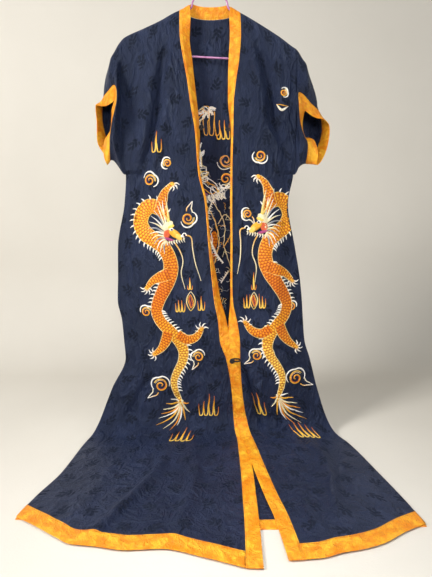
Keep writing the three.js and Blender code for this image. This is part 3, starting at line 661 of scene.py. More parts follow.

# %% [markdown]
# ## Sleeves
# A short sleeve is a tube from the armhole to its mouth. Both ends are drawn rings: `turn` goes round
# from the top over the front. Between them each thread follows a cubic that leaves the armhole downwards and
# comes square to the mouth, so the lips roll over as they do in soft silk.

# %% The sleeves' rings
MOUTHS = {
    "left": table("turn x y z ex ey ez wide", [
        (0, -262, 4, -322, -270, 10, -345, 27), (0.05, -246, -14, -313, -252, 1, -332, 27),
        (0.1, -229, -32, -306, -233, -17, -327, 27), (0.15, -220, -42, -318, -224, -25, -337, 27),
        (0.2, -219, -46, -344, -230, -25, -350, 27), (0.27, -225, -43, -368, -238, -20, -368, 27),
        (0.33, -232, -37, -387, -241, -13, -387, 27), (0.39, -238, -31, -409, -245, -5, -409, 27),
        (0.44, -243, -23, -433, -256, -6, -443, 23), (0.5, -248, -3, -476, -261, 0, -491, 12),
        (0.56, -251, 9, -460, -265, 17, -476, 14), (0.62, -256, 18, -438, -271, 17, -456, 21),
        (0.7, -264, 25, -412, -276, 6, -422, 27), (0.78, -271, 28, -383, -279, 4, -386, 27),
        (0.86, -272, 26, -357, -280, 2, -359, 27), (0.94, -268, 16, -334, -276, 0, -342, 27),
    ]),
    "right": table("turn x y z ex ey ez wide", [
        (0, 268, 0, -357, 277, -3, -381, 27), (0.05, 245, -16, -343, 250, -14, -369, 27),
        (0.1, 225, -30, -328, 226, -24, -353, 27), (0.15, 212, -39, -325, 213, -29, -349, 27),
        (0.19, 209, -43, -334, 219, -35, -354, 27), (0.24, 210, -46, -352, 229, -33, -359, 27),
        (0.3, 212, -44, -373, 227, -23, -375, 27), (0.36, 217, -38, -399, 227, -13, -399, 27),
        (0.41, 228, -32, -425, 237, -7, -429, 27), (0.45, 237, -26, -439, 255, -10, -447, 27),
        (0.49, 238, -18, -464, 262, -13, -471, 27), (0.54, 238, -2, -483, 263, -6, -485, 27),
        (0.61, 251, 14, -473, 276, 9, -474, 27), (0.69, 265, 22, -452, 288, 12, -454, 27),
        (0.77, 276, 27, -430, 294, 9, -433, 27), (0.85, 283, 28, -405, 297, 6, -408, 27),
        (0.93, 280, 20, -378, 292, 2, -390, 27),
    ]),
}
LEAVE = (0.75, 0, -0.66)  # the way a thread leaves the armhole, outwards and down
PULL = 0.75              # how strongly it keeps that way, as a share of its reach
MOUTH_PULL = 0.9         # and the way it arrives at the mouth
LEAST_REACH = 62.0
SQUARE = 0.85            # how far the binding is squared up to its seam


def loop_through(at, values, turn):
    """The closed cubic through (at, values), its slopes those between each row's neighbours."""
    at = np.concatenate([at[-2:] - 1, at, at[:2] + 1])
    values = np.concatenate([values[-2:], values, values[:2]])
    slope = np.zeros(len(at))
    slope[1:-1] = (values[2:] - values[:-2]) / (at[2:] - at[:-2])
    turn = turn - np.floor(turn)
    i = np.clip(np.searchsorted(at, turn, side="left") - 1, 1, len(at) - 3)
    width = at[i + 1] - at[i]
    return hermite(values[i], values[i + 1], slope[i] * width, slope[i + 1] * width, (turn - at[i]) / width)


def mouth_ring(hand, turn, names):
    """The ring with these three columns, at turn."""
    rows = MOUTHS[hand]
    return np.stack([loop_through(rows["turn"], rows[name], turn) for name in names.split()], axis=-1)


def arm_ring(hand, turn):
    """The armhole, from the ridge over the front to the underarm and back up behind."""
    rows = FRONTS[hand]
    tip = through(RIDGE["x"], RIDGE["drop"], rows["side"][0])
    depth = (UNDERARM - tip) * (1 - np.cos(2 * np.pi * turn)) / 2
    way = tip + depth
    lift = rounded(depth) * ARM_DEPTH * rounded(UNDERARM - way) * np.where(turn < 0.5, 1, -1)
    return place(column(rows, "side", way) + SIGN[hand] * GAP, way, lift)


def outward(hand, turn):
    """The way the binding leaves its seam, squared up to the seam."""
    out = unit(mouth_ring(hand, turn, "ex ey ez") - mouth_ring(hand, turn, "x y z"))
    along = unit(mouth_ring(hand, turn + NUDGE, "x y z") - mouth_ring(hand, turn - NUDGE, "x y z"))
    return unit(out - SQUARE * along * (out * along).sum(-1, keepdims=True))


def sleeve_surface(hand, turn, share):
    """A cubic from the armhole to the mouth."""
    start = arm_ring(hand, turn)
    end = mouth_ring(hand, turn, "x y z")
    reach = np.linalg.norm(end - start, axis=-1, keepdims=True)
    away = np.array(LEAVE) * (SIGN[hand], 1, 1) * reach * PULL
    arrive = outward(hand, turn) * np.maximum(reach, LEAST_REACH) * MOUTH_PULL
    return hermite(start, end, away, arrive, share[..., None])


# %% [markdown]
# The sleeves crease where they hang from the hanger's tips. Their creases are found by place, x and way, as
# on the fronts, and push the wall along its own normal.

# %% Sleeves and cuffs
SLEEVE_FOLDS = {
    "left": [
        (2.6, 7, (85, 120, 165, 200), (-222, -226, -230, -232)),
        (2.2, 8, (110, 160, 190), (-243, -247, -246)),
        (-2.0, 9, (100, 150, 210), (-234, -238, -240)),
        (3.0, 8, (215, 260, 320, 350), (-228, -233, -240, -244)),
    ],
    "right": [
        (2.8, 7, (100, 130, 160, 195), (218, 221, 222, 220)),
        (2.4, 8, (120, 160, 200), (240, 246, 250)),
        (-2.0, 9, (110, 150, 205), (230, 233, 236)),
        (2.6, 8, (215, 240, 262), (262, 268, 270)),
    ],
}
SLEEVE_ROUND = 120
SLEEVE_ROWS = 46
for hand in SIGN:
    turn, share = np.meshgrid(np.arange(SLEEVE_ROUND) / SLEEVE_ROUND, np.linspace(0, 1, SLEEVE_ROWS))
    points = sleeve_surface(hand, turn, share)
    normal = grid_normals(points, True)
    wave = folds(SLEEVE_FOLDS[hand], points[..., 0], SHOULDER - points[..., 2]) * step(0, 0.12, share)
    wave *= step(1, 0.8, share) * np.where(turn < 0.5, 1, 0.6)
    outer = np.sign((normal[0] * (points[0] - points[0].mean(0))).sum(-1).mean())
    points = points + normal * (outer * wave)[..., None]
    girth = float(np.linalg.norm(points[-1] - np.roll(points[-1], 1, axis=0), axis=-1).sum())
    order = slice(None, None, -1) if outer < 0 else slice(None)
    rows_cut = cut_uv(points)
    silk = cloth_wall("silk_sleeve_" + hand, points[:, order], SILK, rows_cut[:, order], ring=True)
    area_of(np.concatenate([points, points[:, :1]], axis=1))
    finished(silk, "navy_silk", "sleeve_" + hand)

    turn, share = np.meshgrid(np.arange(SLEEVE_ROUND * 2) / SLEEVE_ROUND / 2, STRIPS)
    wide = loop_through(MOUTHS[hand]["turn"], MOUTHS[hand]["wide"], turn)
    points = mouth_ring(hand, turn, "x y z") + outward(hand, turn) * (CURVED_GAP + wide * share)[..., None]
    satin = binding_wall("satin_cuff_" + hand, points[:, order], share[:, order], (turn * girth)[:, order],
                         BINDING_WIDTH, ring=True)
    area_of(np.concatenate([points, points[:, :1]], axis=1))
    finished(satin, "orange_satin", "cuff_band_" + hand)
    print("sleeve", hand, "is", round(girth), "mm round its mouth")

# %% [markdown]
# ## The hanger
# A wire hanger is one wire bent by hand: a hook, a short shank and two arms that slope to the shoulders. Each
# piece is a round section carried along a curve. The curve goes through its points, and the section stands
# square to it.


# %% Tubes along a curve
def smooth_path(points, count):
    """A Catmull-Rom curve through the points, knots spaced by the root of each chord, at count even lengths."""
    points = np.asarray(points, float)
    points = np.concatenate([[2 * points[0] - points[1]], points, [2 * points[-1] - points[-2]]])
    knots = np.concatenate([[0], np.cumsum(np.linalg.norm(np.diff(points, axis=0), axis=1) ** 0.5)])
    t = np.linspace(knots[1], knots[-2], 40 * len(points))
    i = np.clip(np.searchsorted(knots, t, side="right") - 1, 1, len(points) - 3)

    def blend(a, b, from_knot, to_knot):
        """From a at one knot to b at another, by t."""
        share = ((t - knots[from_knot]) / (knots[to_knot] - knots[from_knot]))[:, None]
        return a * (1 - share) + b * share

    one = blend(points[i - 1], points[i], i - 1, i)
    two = blend(points[i], points[i + 1], i, i + 1)
    three = blend(points[i + 1], points[i + 2], i + 1, i + 2)
    line = blend(blend(one, two, i - 1, i + 1), blend(two, three, i, i + 2), i, i + 1)
    length = lengths(line)
    even = np.linspace(0, length[-1], count)
    return np.stack([np.interp(even, length, line[:, k]) for k in range(line.shape[1])], axis=-1)


def tube_grid(line, radius, sides, side_way=(0, 1, 0), closed=False):
    """A ring of radius round each point of the line, turned from side_way, with the ring square to the line."""
    if closed:
        along = unit(np.roll(line, -1, axis=0) - np.roll(line, 1, axis=0))
    else:
        along = unit(np.gradient(line, axis=0))
    first = unit(np.cross(along, np.asarray(side_way, float)))
    second = np.cross(along, first)
    angle = np.arange(sides) * 2 * np.pi / sides
    reach = np.broadcast_to(np.asarray(radius, float), (len(line),))[:, None, None]
    spokes = first[:, None] * np.cos(angle)[:, None] + second[:, None] * np.sin(angle)[:, None]
    return line[:, None] + reach * spokes


def closed_tube(line, radius, sides, side_way=(0, 1, 0), round_end=4, loop=False):
    """Vertices, faces and lengths of a tube; an open one gets ends that round off over round_end rings."""
    line = np.asarray(line, float)
    if not loop:
        thick = float(np.max(radius))
        swell = np.linspace(0, np.pi / 2, round_end + 1)
        lead = unit(line[1] - line[0])
        tail = unit(line[-1] - line[-2])
        start = line[0] - lead * thick * np.cos(swell[:-1])[:, None]
        stop = line[-1] + tail * thick * np.sin(swell[1:])[:, None]
        radius = np.broadcast_to(np.asarray(radius, float), (len(line),))
        radius = np.concatenate([thick * np.maximum(np.sin(swell[:-1]), 0.02), radius,
                                 thick * np.maximum(np.cos(swell[1:]), 0.02)])
        line = np.concatenate([start, line, stop])
    grid = tube_grid(line, radius, sides, side_way, loop)
    number = np.arange(grid.shape[0] * sides).reshape(-1, sides)
    number = np.concatenate([number, number[:, :1]], axis=1)
    if loop:
        number = np.concatenate([number, number[:1]])
    faces = [quads(number[:-1, :-1], number[1:, :-1], number[1:, 1:], number[:-1, 1:])]
    caps = [] if loop else [number[0, :-1], number[-1, -2::-1]]
    around = np.arange(sides) / sides
    uv = np.stack(np.broadcast_arrays(around, lengths(line)[:, None]), axis=-1).reshape(-1, 2)
    return grid.reshape(-1, 3), np.concatenate(faces), caps, uv


def tubes_piece(name, parts):
    """A mesh piece of tubes, their ends capped by single faces; its uv is a share round and a length."""
    start = np.cumsum([0] + [len(part[0]) for part in parts])
    faces = np.concatenate([part[1] + first for part, first in zip(parts, start)]).tolist()
    faces += [(cap + first).tolist() for part, first in zip(parts, start) for cap in part[2]]
    vertices = np.concatenate([part[0] for part in parts])
    uv = np.concatenate([part[3] for part in parts])
    return make_mesh(name, vertices, faces, uv * (1 / MM, 1))


# %% The hanger's wire
WIRE = 2.2
HOOK = 19.0              # radius of the hook's bend
HOOK_CENTRE = WIRE - HOOK
NECK_TOP = -52.0         # the shank's two ends
NECK_FOOT = -74.0
ARM_TIP = 200.5
BAR_START = 28.0         # how far inside the arm's tip the bar begins
BAR_HEIGHT = -231.5
TILT = 0.052             # the hanger hangs a little lower on the right
UNDER_CLOTH = 4.5        # how far the arms run below the cloth's ridge, and below the neck's binding
UNDER_BAND = 6.2


def ridge_height(x):
    """The height of the shoulder ridge at x."""
    return SHOULDER - float(through(RIDGE["x"], RIDGE["drop"], x))


def bar_height(x):
    """The bar hangs level with the arms' tilt."""
    return BAR_HEIGHT - TILT * x


bend = np.radians([200, 165, 130, 90, 50, 15, -20, -50])
hook = [(HOOK * np.cos(a), 0, HOOK_CENTRE + HOOK * np.sin(a)) for a in bend]
hook += [(3, 0, -43), (0, 0, NECK_TOP), (0, 0, NECK_FOOT)]
wires = {"hook": closed_tube(smooth_path(hook, 90), WIRE, 16)}
for hand, sign in SIGN.items():
    tip_height = ridge_height(sign * ARM_TIP)
    bar = bar_height(sign * ARM_TIP)
    arm = [(GAP, NECK_FOOT - WIRE - GAP), (7, NECK_FOOT - WIRE - 3 * GAP)]
    arm += [(20, -82), (34, -92), (41, -104), (44.5, -117)]
    arm += [(x, ridge_height(sign * x) - UNDER_BAND) for x in (58, 74)]
    arm += [(x, ridge_height(sign * x) - UNDER_CLOTH) for x in (90, 110, 130, 150, 170, 188)]
    arm += [(197, ridge_height(sign * 197) - UNDER_CLOTH - 0.6), (ARM_TIP, tip_height - 12)]
    arm += [(ARM_TIP - 4, mix(tip_height, bar, 0.8))]
    arm += [(ARM_TIP - inset, bar_height(sign * (ARM_TIP - inset))) for inset in (14, 20, BAR_START)]
    wires["arm_" + hand] = closed_tube(smooth_path([(sign * x, 0, z) for x, z in arm], 150), WIRE, 16)
half = ARM_TIP - BAR_START - GAP
wires["bar"] = closed_tube(smooth_path([(x, 0, bar_height(x)) for x in (-half, 0, half)], 24), WIRE, 16)
hanger = tubes_piece("hanger_wire", list(wires.values()))
finished(hanger, "mauve_wire", "hanger_hook", "hanger_arm_left", "hanger_arm_right", "hanger_bar")
print("hanger:", len(hanger.data.polygons), "faces")

# %% [markdown]
# ## Frog fastenings
# A frog is a ball knot on one side and a loop of two strands, one inside the other, on the other side. The
# knot is a Turk's head: one strand that goes three times round while it swings between the poles five times.

# %% Frogs
CORD = 1.7               # half the cord's thickness
KNOT = 6.0
WAIST = 856.0            # the frogs' way down the cloth
CHEST = 277.0
CHEST_LOOP = (7.0, 4.6)  # the loops' half length and half height
WAIST_LOOP = (14.0, 5.2)
SQUARED = 0.85
FLATTENED = 0.85         # a knot's depth against its width


def turks_head(centre, size, flat):
    """x, z = size cos(a), y = flat: a strand with angle 3t round and height sin(5t), over and under itself."""
    t = np.linspace(0, 2 * np.pi, 240, endpoint=False)
    lean = 0.95 * np.sin(5 * t)
    reach = size * (0.80 + 0.10 * np.cos(10 * t + 0.6))
    line = np.stack([reach * np.cos(lean) * np.cos(3 * t), flat * reach * np.sin(lean),
                     reach * np.cos(lean) * np.sin(3 * t)], axis=-1)
    return closed_tube(line + centre, size * 0.24, 8, side_way=(0.3, 1, 0.2), loop=True)


def loop_line(centre, half_long, half_high, count=60):
    """A long loop: an ellipse squared a little, by cosine and sine to the power SQUARED."""
    t = np.linspace(0, 2 * np.pi, count, endpoint=False)
    x = half_long * np.sign(np.cos(t)) * np.abs(np.cos(t)) ** SQUARED
    z = half_high * np.sign(np.sin(t)) * np.abs(np.sin(t)) ** SQUARED
    return np.stack([x, 0 * t, z], axis=-1) + centre


def binding_point(hand, u, below):
    """A single point of a front binding's middle surface."""
    return front_binding(hand, np.array([u]), np.array([float(below)]))[0]


def braid_loop(node, centre, size, strands):
    """A loop of strands inside one another, each an (inset, radius)."""
    parts = [closed_tube(loop_line(centre, size[0] - inset, size[1] - inset), radius, 8, loop=True)
             for inset, radius in strands]
    finished(tubes_piece("cord_" + node, parts), "black_braid", node)


def ball_knot(node, centre):
    """A knot, a little flatter than it is wide."""
    finished(tubes_piece("cord_" + node, [turks_head(centre, KNOT, FLATTENED)]), "black_braid", node)


seam_point = binding_point("right", 0, WAIST)
free_point = binding_point("right", 1, WAIST)
face = min(seam_point[1], free_point[1]) - BINDING / 2 - GAP
loop_middle = np.array([mix(free_point[0], seam_point[0], 0.56), face - CORD, seam_point[2]])
knot_middle = np.array([free_point[0] + KNOT, face - 2 * CORD - GAP - KNOT * FLATTENED, free_point[2]])
braid_loop("waist_loop", loop_middle, WAIST_LOOP, ((0.9, 0.9), (2.7, 0.9)))
ball_knot("waist_knot", knot_middle)

clear = BINDING / 2 + GAP
left_edge = binding_point("left", 0.75, CHEST)
right_edge = binding_point("right", 0.75, CHEST)
ball_knot("chest_knot", left_edge + [clear + KNOT, 0, 0])
braid_loop("chest_loop", right_edge - [clear + CHEST_LOOP[0], 0, 0], CHEST_LOOP, ((0.9, 0.9), (2.6, 0.8)))
print("frogs at", np.round(knot_middle), np.round(left_edge))

# %% [markdown]
# ## Embroidery
# The motifs are sewn in flat silk thread: long stitches laid side by side stand a little above the cloth,
# domed in the middle and thin at both edges. So a motif is a list of strokes, each a curve on the flat cloth
# with a width, a colour and a rise. One function then lays all of them on the panel, by the same function
# that made the panel.

# %% Thread colours and strokes
DEEP = (0.62, 0.11, 0.006)
EMBER = (0.76, 0.22, 0.008)
ORANGE = (0.84, 0.32, 0.012)
GOLD = (0.90, 0.45, 0.025)
YELLOW = (0.95, 0.66, 0.12)
CREAM = (0.88, 0.80, 0.52)
WHITE = (0.96, 0.96, 0.93)
GREY = (0.24, 0.27, 0.33)
PLUM = (0.42, 0.06, 0.22)
CORAL = (0.72, 0.12, 0.03)
INK = (0.006, 0.007, 0.012)
SPACING = 2.0            # between a stroke's cross sections
BED = 0.85               # a thread's edge stands this far off the middle of the cloth


def sideways(line):
    """The unit vectors square to a flat line."""
    along = unit(np.gradient(line, axis=0))
    return np.stack([-along[:, 1], along[:, 0]], axis=-1)


def along_stops(stops, count):
    """A value at count places from a few stops an equal way apart, on one smooth curve."""
    stops = np.asarray(stops, float)
    if len(stops) == 1:
        return np.repeat(stops, count)
    return through(np.linspace(0, 1, len(stops)), stops, np.linspace(0, 1, count))


def stroke(points, half, colours, rise=0.5, layer=0.0, sections=5):
    """One band of stitches: a smooth curve, its half width at even stops, and its colour from start to end."""
    points = np.asarray(points, float)
    length = np.linalg.norm(np.diff(points, axis=0), axis=1).sum()
    line = smooth_path(points, max(5, int(length / SPACING)))
    count = len(line)
    half = along_stops(np.atleast_1d(half), count)
    colours = np.atleast_2d(np.asarray(colours, float))
    shade = np.stack([along_stops(colours[:, k], count) for k in range(3)], axis=-1)
    return {"line": line, "half": half, "shade": shade, "rise": rise, "layer": layer, "sections": sections}


def blob(centre, long, wide, angle, colour, rise=0.7, layer=0.5):
    """A filled oval: a straight stroke whose width is a circle's, sqrt(1 - t^2)."""
    turn = np.radians(angle)
    reach = np.array([np.cos(turn), np.sin(turn)]) * long
    t = np.linspace(-1, 1, 9)
    half = wide * np.sqrt(1 - t ** 2 * 0.985)
    return stroke(np.asarray(centre) + t[:, None] * reach, half, colour, rise, layer, 7)


def stroke_grid(one):
    """The stroke's cross sections: places side by side, how far each stands off, its lengths and its colour."""
    line = one["line"]
    count = len(line)
    sections = one["sections"]
    share = np.sin(np.linspace(-np.pi / 2, np.pi / 2, sections))
    places = line[:, None] + sideways(line)[:, None] * (one["half"][:, None] * share)[..., None]
    dome = np.sqrt(np.maximum(1 - share ** 2, 0))
    ends = np.minimum(1, one["half"] / 0.6)
    off = BED + one["layer"] + one["rise"] * dome * ends[:, None]
    off[:, [0, -1]] = 0.1
    uv = np.stack(np.broadcast_arrays(lengths(line)[:, None], one["half"][:, None] * share), axis=-1)
    shade = np.broadcast_to(one["shade"][:, None], (count, sections, 3))
    return places.reshape(-1, 2), off.ravel(), uv.reshape(-1, 2), shade.reshape(-1, 3)


def sew(name, strokes, surface):
    """A piece of all the strokes on a panel, each closed below, so that it is a thin solid of thread."""
    places, off, uv, shade = (np.concatenate(part) for part in zip(*(stroke_grid(one) for one in strokes)))
    faces = []
    start = 0
    for one in strokes:
        wide = one["sections"]
        number = np.arange(len(one["line"]) * wide).reshape(-1, wide) + start
        ring = np.concatenate([number, number[:, :1]], axis=1)
        faces += quads(ring[:-1, :-1], ring[:-1, 1:], ring[1:, 1:], ring[1:, :-1]).tolist()
        faces += [number[0].tolist(), number[-1].tolist()]
        start += number.size
    piece = make_mesh(name, surface(places[:, 0], places[:, 1], off), faces, uv, shade)
    point_out(piece)
    finished(piece, "orange_satin")
    print(name, len(strokes), "strokes,", len(faces), "faces")


def point_out(piece):
    """Turns every closed part's faces outwards."""
    work = bmesh.new()
    work.from_mesh(piece.data)
    bmesh.ops.recalc_face_normals(work, faces=work.faces)
    work.to_mesh(piece.data)
    work.free()


# %% [markdown]
# A place on a panel is given by x and the way down. The panel's function gives the point, its differences
# over a millimetre give the normal, and the stitches stand along it.

# %% Places on the panels
def stand_off(point, x, way, off):
    """point(x, way) moved along the outward normal, the cross product of its differences down and across."""
    here = point(x, way)
    normal = unit(np.cross(point(x, way + 1) - here, point(x + 1, way) - here))
    return here + normal * off[:, None]


def on_back(side):
    """Lays stitches on the back: side 1 on its inside, -1 on its outside."""
    def point(x, way):
        """The back's middle surface at x."""
        left = column(FRONTS["left"], "side", way)
        right = column(FRONTS["right"], "side", way)
        return back_sheet((x - left) / (right - left), way, way)
    return lambda x, way, off: stand_off(point, x, way, off * side)


def on_front(hand):
    """Lays stitches on the outside of a front; what reaches past the side seam goes on round it, onto the back."""
    def point(x, way):
        """The front's middle surface at x."""
        side = column(FRONTS[hand], "side", way)
        seam = column(FRONTS[hand], "seam", way)
        return front_sheet(hand, (x - side) / (seam - side), way, way)

    def lay(x, way, off):
        """On the front before the side seam; past it, as far from it on the back."""
        side = column(FRONTS[hand], "side", way)
        past = (x - side) * SIGN[hand] > 0
        before = stand_off(point, np.where(past, side, x), way, off)
        behind = on_back(-1)(np.where(past, 2 * side - x, x), way, off)
        return np.where(past[:, None], behind, before)
    return lay


# %% [markdown]
# ### Motifs
# Clouds, flames and a pearl are drawn from formulas: a cloud is a spiral in gold with scallops of white round
# it, and a flame is a row of narrow U shapes. A motif is drawn about its own centre, then turned, scaled and
# mirrored into its place.

# %% Clouds, flames and the pearl
def moved(points, centre, size=1.0, angle=0.0, flip=1):
    """Mirrors, scales and turns points about nil, then moves them to the centre."""
    points = np.asarray(points, float) * [flip, 1]
    turn = np.radians(angle)
    spin = np.array([[np.cos(turn), np.sin(turn)], [-np.sin(turn), np.cos(turn)]])
    return points * size @ spin + np.asarray(centre, float)


def on_circle(reach, angle):
    """Points at this reach and angle from nil."""
    return np.stack([reach * np.cos(angle), reach * np.sin(angle)], axis=-1)


def cloud(centre, size, angle=0, flip=1, tail=True, band=1.7):
    """A gold spiral of one and a half turns, a darker one inside it, three white scallops and a curled tail."""
    t = np.linspace(0, 1, 22)
    coil = np.radians(200) + t * np.radians(560)
    arc = np.radians(150) + t * np.radians(215)
    rim = 1.02 + 0.22 * np.abs(np.sin(1.68 * (arc - np.radians(150))))
    lines = [
        # points, width, its shares at even stops, colours
        (on_circle(0.78 * (1 - t) ** 0.8 + 0.10, coil), band, (0.7, 1, 1.1, 0.8), (YELLOW, GOLD, GOLD)),
        (on_circle(0.62 * (1 - t) ** 0.8 + 0.10, coil), band * 0.7, (0.7, 1, 1.1, 0.8), (CREAM, DEEP, EMBER)),
        (on_circle(rim, arc), band, (0.6, 1.3, 1.2, 0.6), WHITE),
    ]
    if tail:
        lines += [([(-1.0, 0.5), (-1.05, 0.9), (-1.3, 1.2), (-1.7, 1.7)], band, (1, 0.9, 0.5), (CREAM, WHITE)),
                  ([(-1.7, 1.7), (-1.05, 1.45), (-0.55, 1.25), (-0.3, 0.9)], band, (0.5, 1, 0.8), (WHITE, GOLD))]
    return [stroke(moved(points, centre, size, angle, flip), width * np.array(shares), colours)
            for points, width, shares, colours in lines]


def flame(centre, heights, pitch, lean=0.0, band=1.4):
    """Tongues of the given heights, pitch apart, joined by U shapes; lean slants all of them."""
    strokes = []
    t = np.linspace(-1, 1, 15)
    width = band * np.array([0.35, 1, 1.35, 1, 0.35])
    for i in range(len(heights) - 1):
        left = (i - (len(heights) - 1) / 2) * pitch
        up = np.where(t < 0, heights[i], heights[i + 1]) * np.abs(t) ** 2.2
        x = mix(left, left + pitch, 0.5 + 0.5 * np.sign(t) * np.abs(t) ** 0.45)
        x = x + lean * up + 0.05 * pitch * np.sin(up / 6)
        points = np.stack([centre[0] + x, centre[1] - up], axis=-1)
        strokes.append(stroke(points, width, (DEEP, GOLD, YELLOW, GOLD, DEEP)))
    return strokes


def pearl(centre, long, wide):
    """A pointed oval of two arcs with a few strokes of silk inside it."""
    t = np.linspace(-1, 1, 11)
    strokes = []
    for side in (-1, 1):
        edge = np.stack([side * wide * (1 - t ** 2), long * t], axis=-1) + centre
        strokes.append(stroke(edge, (0.8, 1.5, 0.8), (CREAM, YELLOW)))
        for reach in (0.25, 0.6):
            inner = np.stack([side * wide * reach * (1 - t ** 2) + 1.5 * np.sin(3 * t), long * 0.7 * t], axis=-1)
            strokes.append(stroke(inner + centre, (0.5, 1.3, 0.5), CORAL if reach < 0.5 else GOLD))
    return strokes


# %% [markdown]
# ### The dragon
# The dragon is a traditional one: a scaled body that winds down the front in an S, four clawed legs, a maned
# head with long whiskers and a tuft at the tail. It is drawn once, with `a` towards the side seam and `b`
# down the cloth from its head, and mirrored for the other front. `half` is the body's half width.

# %% The dragon's body
SPINE = table("a b half", [
    (20, -38, 10), (32, -60, 15), (56, -71, 18), (77, -57, 19.5), (84, -28, 19.5), (71, -4, 19), (46, 14, 18),
    (25, 32, 17), (12, 56, 17), (8, 82, 18), (14, 108, 18), (27, 136, 16.5), (40, 164, 15.5), (46, 190, 14.5),
    (36, 216, 14.5), (14, 240, 15), (-9, 266, 14.5), (-21, 294, 13.5), (-18, 322, 12), (-5, 348, 10.5),
    (4, 374, 9.5), (0, 402, 8), (-10, 426, 6), (-17, 444, 3.5),
])
LEGS = [
    # the root, knee and paw of each leg, its half widths, and the claws' first and last direction in degrees
    ([(36, -58), (28, -84), (20, -106), (2, -124)], (13, 12.5, 8.5, 5), (20, 175)),
    ([(10, 94), (34, 104), (54, 114), (70, 132)], (15, 13.5, 9, 5.5), (0, 150)),
    ([(-6, 252), (-30, 264), (-52, 258), (-68, 236)], (13, 12, 9.5, 5.5), (-170, 20)),
    ([(16, 244), (24, 268), (36, 288), (54, 304)], (14, 12.5, 9, 5.5), (-75, 95)),
]


FIN_START = 14.0         # the fins' first place, and their distance
FIN_PITCH = 9.5
FIN_END = 0.93           # as shares of the body: the last fin, the bare stretch, and where they change sides
NO_FIN = (0.33, 0.39)
FIN_TURN = 0.56


def edge_of(one, side):
    """A stroke's line moved sideways by this share of its half width."""
    return one["line"] + side * one["half"][:, None] * sideways(one["line"])


def dragon_body(put):
    """The scaled strokes: the body, then the legs over it. put moves points into their place on the cloth."""
    spine = put(np.stack([SPINE["a"], SPINE["b"]], axis=-1))
    colours = (ORANGE, GOLD, ORANGE, EMBER, GOLD, YELLOW, YELLOW)
    scaled = [stroke(spine, SPINE["half"] * put.size, colours, 1.1, 0.0, 11)]
    for points, half, _ in LEGS:
        scaled.append(stroke(put(points), np.array(half) * put.size, (EMBER, ORANGE, GOLD), 1.1, 0.35, 9))
    return scaled


def dragon_edges(put, scaled):
    """Couched lines down both edges of each scaled stroke, the white fins and the claws."""
    strokes = []
    for one in scaled:
        for side in (-1, 1):
            strokes.append(stroke(edge_of(one, side)[::3], 0.8 * put.size ** 0.5, (YELLOW, CREAM), 0.8,
                                  one["layer"] + 0.1))
    line = scaled[0]["line"]
    length = lengths(line)
    along = unit(np.gradient(line, axis=0))
    aside = sideways(line) * put.flip
    for at in np.arange(FIN_START, length[-1] * FIN_END, FIN_PITCH * put.size):
        share = at / length[-1]
        if NO_FIN[0] < share < NO_FIN[1]:
            continue
        side = -1 if share < FIN_TURN else 1
        here, half, lead, out = (np.array([np.interp(at, length, numbers) for numbers in np.atleast_2d(values.T)])
                                 for values in (line, scaled[0]["half"], along, aside))
        root = here + side * out * (half - 1)
        tip = here + side * out * (half + 10 * put.size) + lead * 5 * put.size
        bend = (root + tip) / 2 + side * out * 1.2 - lead * 0.8
        strokes.append(stroke([root, bend, tip], (2.6 * put.size, 1.8 * put.size, 0.3), WHITE, 0.6, 0.3))
    for points, half, (first, last) in LEGS:
        paw = np.array(points[-1], float)
        strokes.append(blob(put([paw])[0], 5.5 * put.size, 4.6 * put.size, 40, GOLD, 0.9, 0.6))
        for direction in np.radians(np.linspace(first, last, 5)):
            way = np.array([np.cos(direction), np.sin(direction)])
            hook = np.array([-way[1], way[0]])
            claw = [paw + way * 3, paw + way * 11 + hook * 2.5, paw + way * 18 - hook * 1.5]
            strokes.append(stroke(put(claw), np.array((2.3, 1.9, 0.4)) * put.size, (GOLD, WHITE, WHITE), 0.7, 0.5))
    return strokes


